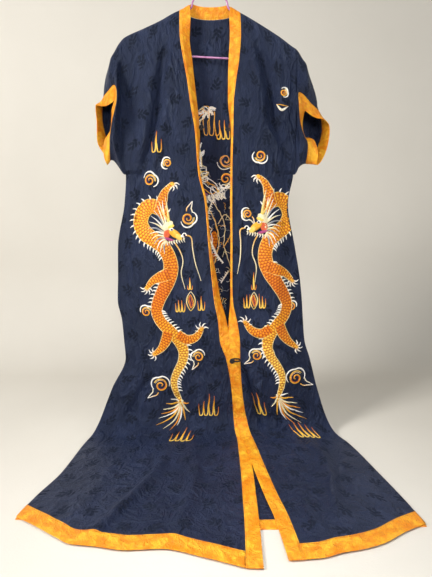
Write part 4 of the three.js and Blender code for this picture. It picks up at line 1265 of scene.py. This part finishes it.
# %% The dragon's head and tail
def dragon_head(put):
    """Mane and horns first, then brow, cheek and snout over them, and the whiskers last."""
    size = put.size
    strokes = []
    mane = [(24, -74), (34, -62), (42, -52), (48, -40), (52, -28), (54, -15), (51, -3), (48, 9), (43, 19),
            (36, 29), (29, 36), (20, 40)]
    for i, (a, b) in enumerate(mane):
        root = (16 + 2 * (i % 2), -20 + 3.2 * i)
        middle = ((root[0] + a) / 2 + 2, (root[1] + b) / 2 - 5)
        strokes.append(stroke(put([root, middle, (a, b)]), np.array((2.4, 1.8, 0.4)) * size,
                              (CREAM, (WHITE, CREAM, GREY)[i % 3], WHITE), 0.7, 0.9))
    for a, b in ((18, -80), (31, -72)):
        strokes.append(stroke(put([(10, -28), (a * 0.7, b * 0.62), (a, b)]), np.array((3, 2.2, 0.5)) * size,
                              (YELLOW, CREAM), 0.9, 1.2))
    ovals = [
        # a, b, long, wide, angle, colour, layer
        (12, -20, 13, 9, 40, CREAM, 1.2), (15, -2, 9, 8, 80, CORAL, 1.1), (6, -18, 8, 4, 20, YELLOW, 1.5),
        (-2, -3, 15, 8, 145, GOLD, 1.5), (-11, 4, 8, 6.5, 140, YELLOW, 1.8), (10, 9, 11, 3.2, 165, PLUM, 1.6),
        (4, -12, 4.4, 3.8, 0, WHITE, 2.2), (3, -11.5, 2.2, 2.2, 0, INK, 2.8), (-18, 2, 3.4, 3, 0, WHITE, 2.0),
    ]
    for a, b, long, wide, angle, colour, layer in ovals:
        turned = angle if put.flip > 0 else 180 - angle
        strokes.append(blob(put([(a, b)])[0], long * size, wide * size, turned, colour, 0.8, layer))
    for i in range(8):
        a = 14 - 5.2 * i
        b = 14 - 1.1 * i
        strokes.append(stroke(put([(a, b), (a + 1, b + 4), (a - 2, b + 9)]), np.array((2.1, 1.5, 0.3)) * size,
                              (CREAM, WHITE), 0.7, 1.6))
    curl = np.linspace(0, 1, 10)
    nose = on_circle(1 - 0.5 * curl, 5 * curl) * (-5, -6) + (-22, 1)
    strokes.append(stroke(put(nose), 1.2 * size, WHITE, 0.7, 1.6))
    for whisker in ([(-25, 0), (-36, 4), (-40, 30), (-46, 62), (-58, 98)],
                    [(-2, 16), (-12, 32), (-19, 54), (-15, 82), (-23, 116)]):
        strokes.append(stroke(put(whisker), np.array((1.8, 1.4, 1.3, 0.6)) * size ** 0.5, (GOLD, CREAM, CREAM),
                              0.6, 0.4))
    return strokes


def dragon_tail(put):
    """A tuft of long strands that sweep outwards from the tail's tip, white, gold and orange in turn."""
    strokes = []
    ends = [(14, 424), (26, 436), (34, 452), (40, 466), (46, 480), (52, 500), (34, 512), (16, 516), (-2, 502),
            (-24, 486), (-36, 460), (-34, 434)]
    for i, (a, b) in enumerate(ends):
        root = (-16 + 0.6 * (i - 5), 428 + 0.8 * (i % 4))
        middle = (mix(root[0], a, 0.45) - 3, mix(root[1], b, 0.62) + 3)
        colour = (WHITE, GOLD, CREAM, ORANGE)[i % 4]
        strokes.append(stroke(put([root, middle, (a, b)]), np.array((2.0, 2.6, 1.8, 0.4)) * put.size ** 0.5,
                              (CREAM, colour, colour), 0.7, 0.3))
    return strokes


HEAD_SIZE = 1.16         # the head against the body it was drawn with


class Put:
    """Moves a motif drawn with a and b to x and way: flip mirrors it, size scales it, lean slants it outwards."""

    def __init__(self, x, way, flip, size=1.0, lean=0.0):
        self.centre = np.array([x, way], float)
        self.flip = flip
        self.size = size
        self.lean = lean

    def __call__(self, points):
        points = np.asarray(points, float)
        a = points[:, 0] + self.lean * np.maximum(points[:, 1], 0)
        return self.centre + self.size * np.stack([self.flip * a, points[:, 1]], axis=-1)


def dragon(put):
    """All of a dragon's strokes: those with scales, and those in plain thread."""
    scaled = dragon_body(put)
    head = Put(*put.centre, put.flip, put.size * HEAD_SIZE, put.lean)
    return scaled, dragon_edges(put, scaled) + dragon_head(head) + dragon_tail(put)


# %% [markdown]
# ### The two fronts
# The fronts face each other: each dragon turns its head to the middle, with clouds and flames round it.

# %% Sew the fronts
def crescent(left, low, high, right):
    """A small filled crescent with a gold line over it."""
    return [stroke([left, low, right], (0.6, 3.4, 0.6), (CREAM, WHITE)),
            stroke([left, high, right], (0.5, 1.2, 0.5), GOLD)]


def sew_panel(name, put, motifs, surface):
    """A dragon and the motifs round it: first its scales, then everything in plain thread."""
    scales, threads = dragon(put)
    for draw, *given in motifs:
        threads += draw(*given)
    sew("scales_" + name, scales, surface)
    sew("threads_" + name, threads, surface)
    return scales, threads


# the place and size of a cloud, its turn, its mirroring and if it has a tail;
# the place of a flame, its tongues' heights and pitch, its lean; the place of a pearl and its two half widths
sew_panel("left", Put(-89, 541, -1), [
    (flame, (-129, 342), (30, 52, 30), 13), (cloud, (-103, 368), 12, -60, 1, False),
    (cloud, (-147, 408), 17, 30, -1, False), (cloud, (-54, 500), 18, 150), (pearl, (-48, 706), 25, 11),
    (flame, (-75, 733), (22, 30, 30, 22), 8), (flame, (-22, 729), (24, 36, 22), 9),
    (flame, (-50, 676), (10, 30, 10), 6), (cloud, (-162, 735), 15, 0, -1, False), (cloud, (-30, 850), 16, -20),
    (cloud, (-128, 928), 21), (flame, (-5, 1012), (34, 42, 62, 56, 26), 13, 0.05),
    (flame, (-78, 1098), (30, 38, 50, 40, 26), 14, 0.35),
], on_front("left"))
sew_panel("right", Put(116, 523, 1, 1.0, 0.17), [
    (cloud, (122, 350), 16, 180, -1, False), (cloud, (92, 490), 13, -80), (pearl, (110, 704), 22, 9),
    (flame, (92, 722), (26, 34, 34), 8), (flame, (131, 722), (36, 30, 24), 8),
    (flame, (109, 676), (12, 44, 12), 6), (cloud, (208, 722), 13, 0, 1, False), (cloud, (118, 845), 16, 10),
    (cloud, (222, 908), 22, -20, -1),
    (flame, (136, 1009), (60, 64, 40), 13, -0.25), (flame, (256, 1085), (44, 50, 52, 46, 38), 14, -0.55),
    (cloud, (178, 200), 10, 90, 1, False), (crescent, (161, 228), (173, 241), (175, 230), (190, 232)),
], on_front("right"))

# %% [markdown]
# ### The back
# A larger dragon of the same kind fills the back. Its reverse shows inside between the fronts: the same
# outlines, but broken and duller, with the ends of dark thread between them.

# %% Sew the back, outside and inside
back_scales, back_threads = sew_panel("back", Put(-6, 420, -1, 1.55, -0.1), [
    (flame, (4, 292), (44, 60, 58, 40), 14, 0.0, 1.8), (cloud, (150, 420), 26, 20, -1),
    (cloud, (40, 352), 20, 180, 1, False), (cloud, (-170, 700), 26), (cloud, (130, 760), 28, 10, -1),
    (flame, (120, 1000), (50, 66, 84, 70, 44), 18, 0.0, 1.9),
    (flame, (-150, 1010), (50, 70, 60, 40), 18, 0.0, 1.9),
    (cloud, (150, 600), 24, 200),
], on_back(-1))


def reverse_of(strokes, seed):
    """The back of the stitches: each stroke's middle and edges as thin, shaken lines in duller colours."""
    draw = np.random.default_rng(seed)
    out = []
    for one in strokes:
        wide = float(one["half"].max())
        for side in (0,) if wide < 3 else (-1, -0.4, 0.3, 1):
            shaken = edge_of(one, side)[::4]
            if len(shaken) < 3:
                shaken = edge_of(one, side)
            shaken = shaken + draw.normal(0, 0.5 + 0.06 * wide, shaken.shape)
            pick = draw.random() if wide > 3 else 1
            colour = WHITE if pick < 0.5 else GREY if pick < 0.56 else one["shade"].mean(0)
            out.append(stroke(shaken, 1.2, colour, 0.3, 0.0))
    return out


def barbed(points, half, reach, seed, colour=WHITE):
    """A line of thread with short barbs on one side, such as the reverse of a mane or a fin."""
    draw = np.random.default_rng(seed)
    strokes = [stroke(points, (half * 0.6, half, half * 0.7), (CREAM, colour), 0.5)]
    line = strokes[0]["line"]
    for i in range(2, len(line) - 1, 3):
        aside = np.array([line[i - 1, 1] - line[i, 1], line[i, 0] - line[i - 1, 0]])
        tip = line[i] + unit(aside) * reach * draw.uniform(0.5, 1.1) + draw.normal(0, 1.2, 2)
        strokes.append(stroke([line[i], (line[i] + tip) / 2 + draw.normal(0, 0.6, 2), tip],
                              (half * 0.8, half * 0.6, 0.3), colour, 0.5, 0.2))
    return strokes


def loose_ends(count, seed):
    """Short curls of the threads' ends, dull and scattered where the back's motif shows inside."""
    draw = np.random.default_rng(seed)
    strokes = []
    for _ in range(count):
        start = np.array([draw.uniform(-22, 62), draw.uniform(385, 830)])
        turn = draw.uniform(0, 6.3) + np.cumsum(draw.normal(0, 0.9, 6))
        path = start + np.cumsum(np.stack([np.cos(turn), np.sin(turn)], axis=-1) * draw.uniform(2.0, 4.5), axis=0)
        colour = (GREY, CREAM, GREY, WHITE, GOLD)[int(draw.integers(5))]
        strokes.append(stroke(path, 0.7, colour, 0.3, 0.1))
    return strokes


hidden = reverse_of(back_scales, 7) + reverse_of(back_threads, 8) + loose_ends(110, 9)
hidden += barbed([(-10, 500), (0, 468), (14, 440), (34, 424), (56, 402)], 2.0, 11, 10)
hidden += barbed([(-8, 536), (4, 562), (18, 592), (34, 612)], 3.0, 9, 11)
hidden += barbed([(50, 630), (40, 644), (28, 664)], 2.2, 9, 12)
hidden += barbed([(16, 724), (34, 750), (46, 792), (42, 846)], 1.8, 9, 13)
hidden += [stroke([(20, 512), (38, 488), (54, 506), (52, 540), (34, 572)], 1.4, (CREAM, GOLD), 0.4, 0.3),
           stroke([(-6, 640), (2, 690), (8, 742), (16, 800)], 1.6, (ORANGE, GOLD), 0.4, 0.3)]
hidden += cloud((40, 398), 19, 120, -1, tail=False) + flame((34, 300), (20, 34, 46, 38), 12, -0.1)
sew("threads_inside_back", hidden, on_back(1))

# %% [markdown]
# ## Finishes
# All colours and reliefs are worked out by nodes. Cloth patterns follow each piece's own lengths on the cut,
# which the UV map "cut" holds in metres, so that a leaf or a stitch has its real size and hangs with the
# cloth. Broad unevenness reads the place in space. Effects that several finishes share are node groups.

# %% Node helpers
def feed(socket, value):
    """Links a socket to a value that nodes work out, or sets it to a plain one."""
    if isinstance(value, Value):
        socket.id_data.links.new(value.socket, socket)
    else:
        socket.default_value = value


def add(tree, kind, inputs=None, **settings):
    """A node of one kind with its settings, and its inputs as values by name or number."""
    made = tree.nodes.new("ShaderNode" + kind)
    for name, value in settings.items():
        setattr(made, name, value)
    for name, value in (inputs or {}).items():
        feed(made.inputs[name], value)
    return made


class Value:
    """What a node puts out. Arithmetic on it adds Math nodes, so that a finish reads like its formula."""

    def __init__(self, socket):
        self.socket = socket

    def into(self, kind, inputs, output=0, **settings):
        """What a new node puts out that takes this value first."""
        made = add(self.socket.id_data, kind, {0: self, **inputs}, **settings)
        return Value(made.outputs[output])

    def math(self, operation, other=0.0):
        """The result of one Math node."""
        return self.into("Math", {1: other}, operation=operation)

    def __add__(self, other):
        return self.math("ADD", other)

    def __sub__(self, other):
        return self.math("SUBTRACT", other)

    def __mul__(self, other):
        return self.math("MULTIPLY", other)

    def __truediv__(self, other):
        return self.math("DIVIDE", other)

    def __rsub__(self, number):
        return self * -1.0 + number

    def __rtruediv__(self, number):
        return self.math("POWER", -1.0) * number

    def vector(self, operation, other):
        """The result of one Vector Math node."""
        return self.into("VectorMath", {1: other}, operation=operation)

    def parts(self):
        """The x, y and z of a vector."""
        apart = add(self.socket.id_data, "SeparateXYZ", {0: self})
        return [Value(one) for one in apart.outputs]

    def ramp(self, start, end, low=0.0, high=1.0):
        """A smooth step from low at start to high at end."""
        return self.into("MapRange", {1: start, 2: end, 3: low, 4: high}, interpolation_type="SMOOTHSTEP")

    def blend(self, one, two):
        """Colour one where this is 0, and two where it is 1."""
        return self.into("Mix", {6: one, 7: two}, 2, data_type="RGBA", clamp_factor=True)

    def noise(self, scale, detail=3.0, rough=0.55, shake=0.0):
        """The value of a noise texture at this place."""
        return self.into("TexNoise", {"Scale": scale, "Detail": detail, "Roughness": rough, "Distortion": shake})


def effect(name, inputs, outputs):
    """A node group: its inputs by name, each a number or None for a vector, and the numbers it puts out."""
    tree = bpy.data.node_groups.new(name, "ShaderNodeTree")
    for socket, value in inputs.items():
        kind = "NodeSocketVector" if value is None else "NodeSocketFloat"
        made = tree.interface.new_socket(socket, in_out="INPUT", socket_type=kind)
        if value is not None:
            made.default_value = value
    for socket in outputs:
        tree.interface.new_socket(socket, in_out="OUTPUT", socket_type="NodeSocketFloat")
    given = [Value(tree.nodes.new("NodeGroupInput").outputs[name]) for name in inputs]
    return tree, given, tree.nodes.new("NodeGroupOutput").inputs


def placed(tree, group, inputs):
    """The outputs of a group set into a material with its own values."""
    made = tree.nodes.new("ShaderNodeGroup")
    made.node_tree = group
    for name, value in inputs.items():
        feed(made.inputs[name], value)
    return {one.name: Value(one) for one in made.outputs}


def in_space(tree):
    """The place in space, in metres."""
    return Value(add(tree, "TexCoord").outputs["Object"])


def on_cut(tree):
    """The place on the cut piece in metres, from the UV map."""
    return Value(add(tree, "UVMap", uv_map="cut").outputs[0])


def thread_colour(tree):
    """The colour that each stroke carries."""
    return Value(add(tree, "VertexColor", layer_name="thread").outputs["Color"])


def finish(name, roughness, sheen, sheen_tint, specular, coat=0.0):
    """A new material and its tree, with the values that are the same all over set on its shader."""
    made = bpy.data.materials.new(name)
    made.use_nodes = True
    surface = made.node_tree.nodes["Principled BSDF"].inputs
    for socket, value in (("Roughness", roughness), ("Specular IOR Level", specular), ("Coat Weight", coat),
                          ("Sheen Weight", sheen), ("Sheen Roughness", 0.35), ("Sheen Tint", rgb(sheen_tint))):
        surface[socket].default_value = value
    return made, made.node_tree


def dressed(made, colour, roughness, height, depth):
    """Feeds the material its colour, its roughness and a relief of the given depth in metres."""
    surface = made.node_tree.nodes["Principled BSDF"].inputs
    feed(surface["Base Color"], colour)
    feed(surface["Roughness"], roughness)
    bump = add(made.node_tree, "Bump", {"Strength": 1.0, "Distance": depth, "Height": height})
    feed(surface["Normal"], Value(bump.outputs[0]))
    return made


def rgb(colour):
    """A colour with full alpha."""
    return (*colour, 1.0)


# %% [markdown]
# ### Shared effects
# `crumpled_cloth` turns noise n into soft creases with the ridge (1 - |2n - 1|)^3, once broad and once fine.
# `twill` is the weave: slanting ribs crossed by faint ones. `leaf_damask` sets one sprig of leaves in each
# cell of a half-drop repeat; a leaf is the set of places whose distance in its own stretched and turned frame
# is under 1.

# %% Effects on cloth
FULL_TURN = 6.2832


def crumpled_cloth():
    """Height of crumples, and Shade, a painted shade of them; Size is their length in metres, Stretch slows them
    along each axis.
    """
    tree, (place, size, stretch), out = effect("crumpled_cloth", {"Place": None, "Size": 0.04, "Stretch": None},
                                               ("Height", "Shade"))
    place = place.vector("MULTIPLY", stretch)
    scale = 1.0 / size
    broad = place.noise(scale, 2.0, 0.5, 0.6)
    fine = place.noise(scale * 3.1, 3.0, 0.55, 0.9)
    ridges = []
    for value in (broad, fine):
        fold = (value * 2.0 - 1.0).math("ABSOLUTE").math("MINIMUM", 1.0)
        ridges.append((1.0 - fold).math("POWER", 3.0))
    feed(out["Height"], ridges[0] * 0.72 + ridges[1] * 0.28)
    feed(out["Shade"], (broad * 0.6 + fine * 0.4).ramp(0.3, 0.7))
    return tree


def twill():
    """The weave's height: ribs on the slant, Pitch apart in metres, and faint ones across."""
    tree, (place, pitch), out = effect("twill", {"Place": None, "Pitch": 0.0011}, ("Height",))
    x, y, _ = place.parts()
    turns = FULL_TURN / pitch
    slant = ((x + y) * turns).math("SINE")
    cross = ((x - y) * turns).math("SINE")
    feed(out["Height"], cross * 0.3 + (slant * 0.35 + 0.5))
    return tree


LEAVES = table("x y angle long wide", [
    (0, -2, 82, 13, 0.9), (-5, -7, 140, 6.2, 2.3), (5, -4, 38, 6.6, 2.4), (-5, 2, 132, 6.6, 2.5),
    (5, 6, 50, 6.2, 2.3), (0, 13, 96, 5.6, 2.6), (-9, 9, 160, 4.6, 1.8), (9, -11, 20, 4.6, 1.8),
])
LEAF_STRETCH = (1.12, 1.45)  # of every leaf, along and across it
REPEAT = (0.054, 0.060)      # of the damask, across and along the cloth


def leaf_damask():
    """A mask of sprigs, one a cell, every other row shifted by half a cell and each turned a little."""
    tree, (place,), out = effect("leaf_damask", {"Place": None}, ("Leaf",))
    x, y, _ = place.vector("DIVIDE", (*REPEAT, 1)).parts()
    row = y.math("FLOOR")
    across = row.math("FLOORED_MODULO", 2.0) * 0.5 + x
    column = across.math("FLOOR")
    inside = add(tree, "CombineXYZ", {0: across.math("FRACT") - 0.5, 1: y.math("FRACT") - 0.5}).outputs[0]
    inside = Value(inside).vector("MULTIPLY", (REPEAT[0] / MM, REPEAT[1] / MM, 0))
    cell = Value(add(tree, "CombineXYZ", {0: column, 1: row}).outputs[0])
    chance = cell.into("TexWhiteNoise", {})
    turned = inside.into("VectorRotate", {"Angle": chance * 5.5}, rotation_type="Z_AXIS")
    total = 0.0
    for x, y, angle, long, wide in zip(*LEAVES.values()):
        leaf = turned.into("Mapping", {"Location": (x, y, 0), "Rotation": (0, 0, np.radians(angle)),
                                       "Scale": (long * LEAF_STRETCH[0], wide * LEAF_STRETCH[1], 1)},
                           vector_type="TEXTURE")
        reach = leaf.into("VectorMath", {}, 1, operation="LENGTH")
        total = reach.ramp(0.72, 1.08, 1.0, 0.0).math("MAXIMUM", total)
    feed(out["Leaf"], total)
    return tree


# %% [markdown]
# Satin stitches are fine lines across a stroke, one every Pitch along it. Scales are rows of arcs, every
# other row shifted by half a scale: the distance from the middle of a scale gives its dark rim.

# %% Effects on thread and bindings
def laid_stitches():
    """Height of stitches, and Shade, a painted shade that is low between them; they lie across x, slightly shaken.
    """
    tree, (place, pitch), out = effect("laid_stitches", {"Place": None, "Pitch": 0.0012}, ("Height", "Shade"))
    shake = place.noise(220.0, 2.0)
    turns = FULL_TURN / pitch
    wave = (shake * 5.0 + place.parts()[0] * turns).math("SINE") * 0.5 + 0.5
    feed(out["Height"], wave)
    feed(out["Shade"], shake * 0.5 + wave * 0.5)
    return tree


def fish_scales():
    """Rim is 1 in the gaps between scales, Middle is 1 at a scale's middle; Size is a scale's width in metres."""
    tree, (place, size), out = effect("fish_scales", {"Place": None, "Size": 0.0082}, ("Rim", "Middle"))
    along, across, _ = place.parts()
    lengthwise = along / (size * 0.8)
    row = lengthwise.math("FLOOR")
    sideways = row.math("FLOORED_MODULO", 2.0) * 0.5 + across / size
    x = sideways.math("FRACT") - 0.5
    y = lengthwise.math("FRACT") * 0.62
    reach = (x * x + y * y).math("SQRT")
    feed(out["Rim"], reach.ramp(0.36, 0.54))
    feed(out["Middle"], reach.ramp(0.34, 0.05))
    return tree


def stitch_line():
    """A line of stitches beside a seam: Across is the distance from it, in metres, Along runs down it."""
    tree, (across, along, inset), out = effect("stitch_line", {"Across": 0.0, "Along": 0.0, "Set in": 0.0022},
                                               ("Stitch", "Pull"))
    off = (across - inset).math("ABSOLUTE")
    dash = along.math("PINGPONG", 0.0016)
    feed(out["Stitch"], off.ramp(0.0007, 0.0002) * dash.ramp(0.0004, 0.0007))
    feed(out["Pull"], off.ramp(0.0030, 0.0))
    return tree


CRUMPLED = crumpled_cloth()
TWILL = twill()
DAMASK = leaf_damask()
STITCHES = laid_stitches()
SCALES = fish_scales()
STITCH_LINE = stitch_line()


# %% [markdown]
# ### The finishes
# The silk is a deep blue with a soft sheen. Its leaves are woven matt and darker. The satin of the bindings
# is bright orange with painted shade in its puckers and a line of stitches beside the seam.

# %% Silk and satin
def navy_silk():
    """Blue silk: cloudy, with painted shade in its crumples and matt leaves."""
    made, tree = finish("navy_damask_silk", 0.5, 0.05, (0.30, 0.45, 1.0), 0.33)
    place = in_space(tree)
    cut = on_cut(tree)
    tree.nodes["Principled BSDF"].inputs["Specular Tint"].default_value = rgb((0.70, 0.82, 1.0))
    crumple = placed(tree, CRUMPLED, {"Place": place, "Size": 0.036, "Stretch": (1, 1, 0.42)})
    leaf = placed(tree, DAMASK, {"Place": cut})["Leaf"]
    weave = placed(tree, TWILL, {"Place": cut})["Height"]
    cloudy = place.noise(5.0, 3.0).ramp(0.3, 0.72)
    ground = cloudy.blend(rgb((0.0080, 0.0125, 0.037)), rgb((0.0185, 0.0265, 0.066)))
    # painted shade: darker where the crumples' Shade is high
    ground = (crumple["Shade"] * 0.75).blend(ground, rgb((0.0050, 0.0076, 0.022)))
    colour = (leaf * 0.88).blend(ground, rgb((0.0030, 0.0045, 0.013)))
    roughness = leaf * 0.34 + (crumple["Shade"] * 0.10 + 0.40)
    return dressed(made, colour, roughness, weave * 0.035 + (leaf * 0.03 + crumple["Height"]), 0.0075)


def orange_satin():
    """Orange satin: paler in patches, with painted shade in its puckers and a line of stitches that pulls it in.
    """
    made, tree = finish("orange_satin", 0.42, 0.05, (1.0, 0.7, 0.3), 0.35)
    cut = on_cut(tree)
    across, along, _ = cut.parts()
    crumple = placed(tree, CRUMPLED, {"Place": cut, "Size": 0.016, "Stretch": (0.8, 1, 1)})
    weave = placed(tree, TWILL, {"Place": cut, "Pitch": 0.0009})["Height"]
    line = placed(tree, STITCH_LINE, {"Across": across, "Along": along})
    # paler in patches of noise, which also set the roughness
    pale_patches = cut.noise(40.0, 4.0, 0.6, 0.4).ramp(0.38, 0.62)
    colour = pale_patches.blend(rgb((0.86, 0.28, 0.005)), rgb((1.0, 0.52, 0.028)))
    # painted shade: darker in the puckers, where the crumples' Shade is high
    colour = (crumple["Shade"] * 0.5).blend(colour, rgb((0.60, 0.14, 0.003)))
    colour = (line["Stitch"] * 0.8).blend(colour, rgb((0.55, 0.14, 0.004)))
    height = weave * 0.05 + (line["Pull"] * -0.35 + crumple["Height"])
    return dressed(made, colour, pale_patches * 0.16 + 0.34, height, 0.0026)


# %% Thread, braid, wire and plaster
def silk_thread():
    """Flat silk in each stroke's own colour, with painted shade between the stitches."""
    made, tree = finish("embroidery_silk", 0.4, 0.08, (1, 0.95, 0.85), 0.45)
    colour = thread_colour(tree)
    laid = placed(tree, STITCHES, {"Place": on_cut(tree)})
    # painted shade: the colour darkens where the stitches' Shade is low, between them
    shade = laid["Shade"].ramp(0.15, 0.6).blend(colour.vector("MULTIPLY", (0.6, 0.5, 0.42)), colour)
    return dressed(made, shade, laid["Shade"] * -0.2 + 0.5, laid["Height"], 0.0002)


def scaled_thread():
    """The same silk with scales: dark thread at the rim, and paler gold in their middle that is partly a painted
    highlight.
    """
    made, tree = finish("embroidery_scales", 0.45, 0.04, (1, 0.8, 0.4), 0.3)
    cut = on_cut(tree)
    laid = placed(tree, STITCHES, {"Place": cut, "Pitch": 0.0009})
    scales = placed(tree, SCALES, {"Place": cut})
    colour = thread_colour(tree).vector("MULTIPLY", (0.92, 0.82, 0.65))
    deep = colour.vector("MULTIPLY", (0.55, 0.26, 0.2))
    # paler gold in each scale's middle: partly the thread's colour, partly a painted highlight
    gold_and_highlight = colour.vector("MULTIPLY", (1.15, 1.6, 2.0))
    shade = (scales["Rim"] * 0.95).blend((scales["Middle"] * 0.8).blend(colour, gold_and_highlight), deep)
    height = laid["Height"] * 0.2 + (1.0 - scales["Rim"])
    return dressed(made, shade, scales["Rim"] * 0.25 + 0.34, height, 0.0005)


def black_braid():
    """Slanting strands with a little fuzz, and painted shade in the grooves between them."""
    made, tree = finish("black_braid", 0.6, 0.3, (0.5, 0.5, 0.6), 0.4)
    around, along, _ = on_cut(tree).parts()
    strand = (along * 3100.0 + around * 6283.2).math("SINE").math("ABSOLUTE")
    fuzz = in_space(tree).noise(900.0, 2.0)
    # painted shade: darker in the grooves between the strands
    colour = strand.blend(rgb((0.0015, 0.0015, 0.002)), rgb((0.012, 0.012, 0.016)))
    return dressed(made, colour, fuzz * 0.3 + 0.45, fuzz * 0.15 + strand, 0.0004)


def coated_wire():
    """Mauve plastic coating, duller and scuffed in places."""
    made, tree = finish("mauve_coated_wire", 0.3, 0.0, (1, 1, 1), 0.5, 0.3)
    place = in_space(tree)
    dull = place.noise(60.0, 4.0).ramp(0.35, 0.7)
    scuff = place.noise(420.0, 2.0).ramp(0.62, 0.72)
    colour = dull.blend(rgb((0.42, 0.17, 0.36)), rgb((0.52, 0.24, 0.46)))
    colour = scuff.blend(colour, rgb((0.30, 0.10, 0.25)))
    return dressed(made, colour, dull * 0.2 + 0.25, scuff * -0.5 + dull, 0.00008)


def pale_plaster():
    """The studio's floor and wall, which is clear from behind."""
    made, tree = finish("pale_plaster", 0.9, 0.0, (1, 1, 1), 0.3)
    place = in_space(tree)
    patch = place.noise(2.2, 4.0)
    behind = Value(add(tree, "NewGeometry").outputs["Backfacing"])
    feed(tree.nodes["Principled BSDF"].inputs["Alpha"], 1.0 - behind)
    colour = patch.blend(rgb((0.62, 0.59, 0.53)), rgb((0.69, 0.66, 0.60)))
    return dressed(made, colour, patch * 0.1 + 0.82, place.noise(260.0, 3.0), 0.0003)


# %% Dress the pieces
FINISH_OF = {"silk": navy_silk(), "satin": orange_satin(), "threads": silk_thread(), "scales": scaled_thread(),
             "cord": black_braid(), "hanger": coated_wire()}
for name, piece in pieces.items():
    piece.data.materials.append(FINISH_OF[name.split("_")[0]])
print("finishes:", sorted(made.name for made in FINISH_OF.values()))

# %% [markdown]
# ## The studio
# A pale floor runs back and turns up into the wall, so that no edge shows. The skirt rests on it. The wall is
# clear from behind, which leaves the robe's back open to view. A large soft lamp above and to the left gives
# the folds their shade, and a weak one opposite keeps them from going black. Two small ones add a little
# light on the chest and over the hem.

# %% Floor, lights and camera
ROOM = 3200.0            # the floor's half width, how far forward it runs and the wall's height
WALL_FOOT = 500.0        # where the floor starts to turn up
WALL_TURN = 400.0        # the radius of that turn

angle = np.linspace(0, np.pi / 2, 13)
y = np.concatenate([[-ROOM, WALL_FOOT], WALL_FOOT + WALL_TURN * np.sin(angle), [WALL_FOOT + WALL_TURN]])
z = np.concatenate([[0, 0], WALL_TURN - WALL_TURN * np.cos(angle), [ROOM]]) + FLOOR
grid = np.stack(np.broadcast_arrays([-ROOM, ROOM], y[:, None], z[:, None]), axis=-1)
number = np.arange(len(y) * 2).reshape(-1, 2)
floor = make_mesh("pale_floor", grid.reshape(-1, 3),
                  quads(number[:-1, 0], number[:-1, 1], number[1:, 1], number[1:, 0]))
floor.data.materials.append(pale_plaster())


def soft_lamp(name, place_at, aim_at, size, power, colour, spread):
    """A square area lamp turned from its place to its aim, in metres, watts and degrees."""
    lamp = bpy.data.lights.new(name, "AREA")
    lamp.size = size
    lamp.spread = np.radians(spread)
    lamp.energy = power
    lamp.color = colour
    holder = bpy.data.objects.new(name, lamp)
    bpy.context.scene.collection.objects.link(holder)
    holder.location = place_at
    direction = mathutils.Vector(aim_at) - mathutils.Vector(place_at)
    holder.rotation_euler = direction.to_track_quat("-Z", "Y").to_euler()


LAMPS = [
    # name, place, aim, size, power, colour, spread
    ("lamp_key", (-2.2, -1.6, 0.9), (0, 0, -0.6), 0.8, 96, (1.0, 0.98, 0.95), 180),
    ("lamp_fill", (1.9, -1.9, 0.2), (0, 0, -0.7), 1.6, 15, (0.94, 0.97, 1.0), 180),
    ("lamp_front", (0.1, -1.8, -0.1), (0.0, 0, -0.5), 0.5, 2, (1.0, 0.99, 0.97), 60),
    ("lamp_over_hem", (0.05, -0.85, 0.25), (0, -0.45, -1.45), 0.4, 1.7, (0.96, 0.98, 1.0), 58),
]
for lamp in LAMPS:
    soft_lamp(*lamp)
scene = bpy.context.scene
world = bpy.data.worlds.new("studio_air")
world.use_nodes = True
air = world.node_tree.nodes["Background"].inputs
air["Color"].default_value = (1.0, 0.99, 0.97, 1)
air["Strength"].default_value = 0.32
scene.world = world
scene.view_settings.view_transform = "Standard"

CAMERA_PLACE = (0.015, -1.109, -0.68)
CAMERA_PITCH = 6.0       # degrees below level
camera_data = bpy.data.cameras.new("camera")
camera_data.sensor_width = 36
camera_data.lens = 27.08
camera = bpy.data.objects.new("camera", camera_data)
scene.collection.objects.link(camera)
camera.location = CAMERA_PLACE
camera.rotation_euler = (np.radians(90 - CAMERA_PITCH), 0, 0)
scene.camera = camera
print("lamps:", len(LAMPS), "and a camera at", CAMERA_PLACE)
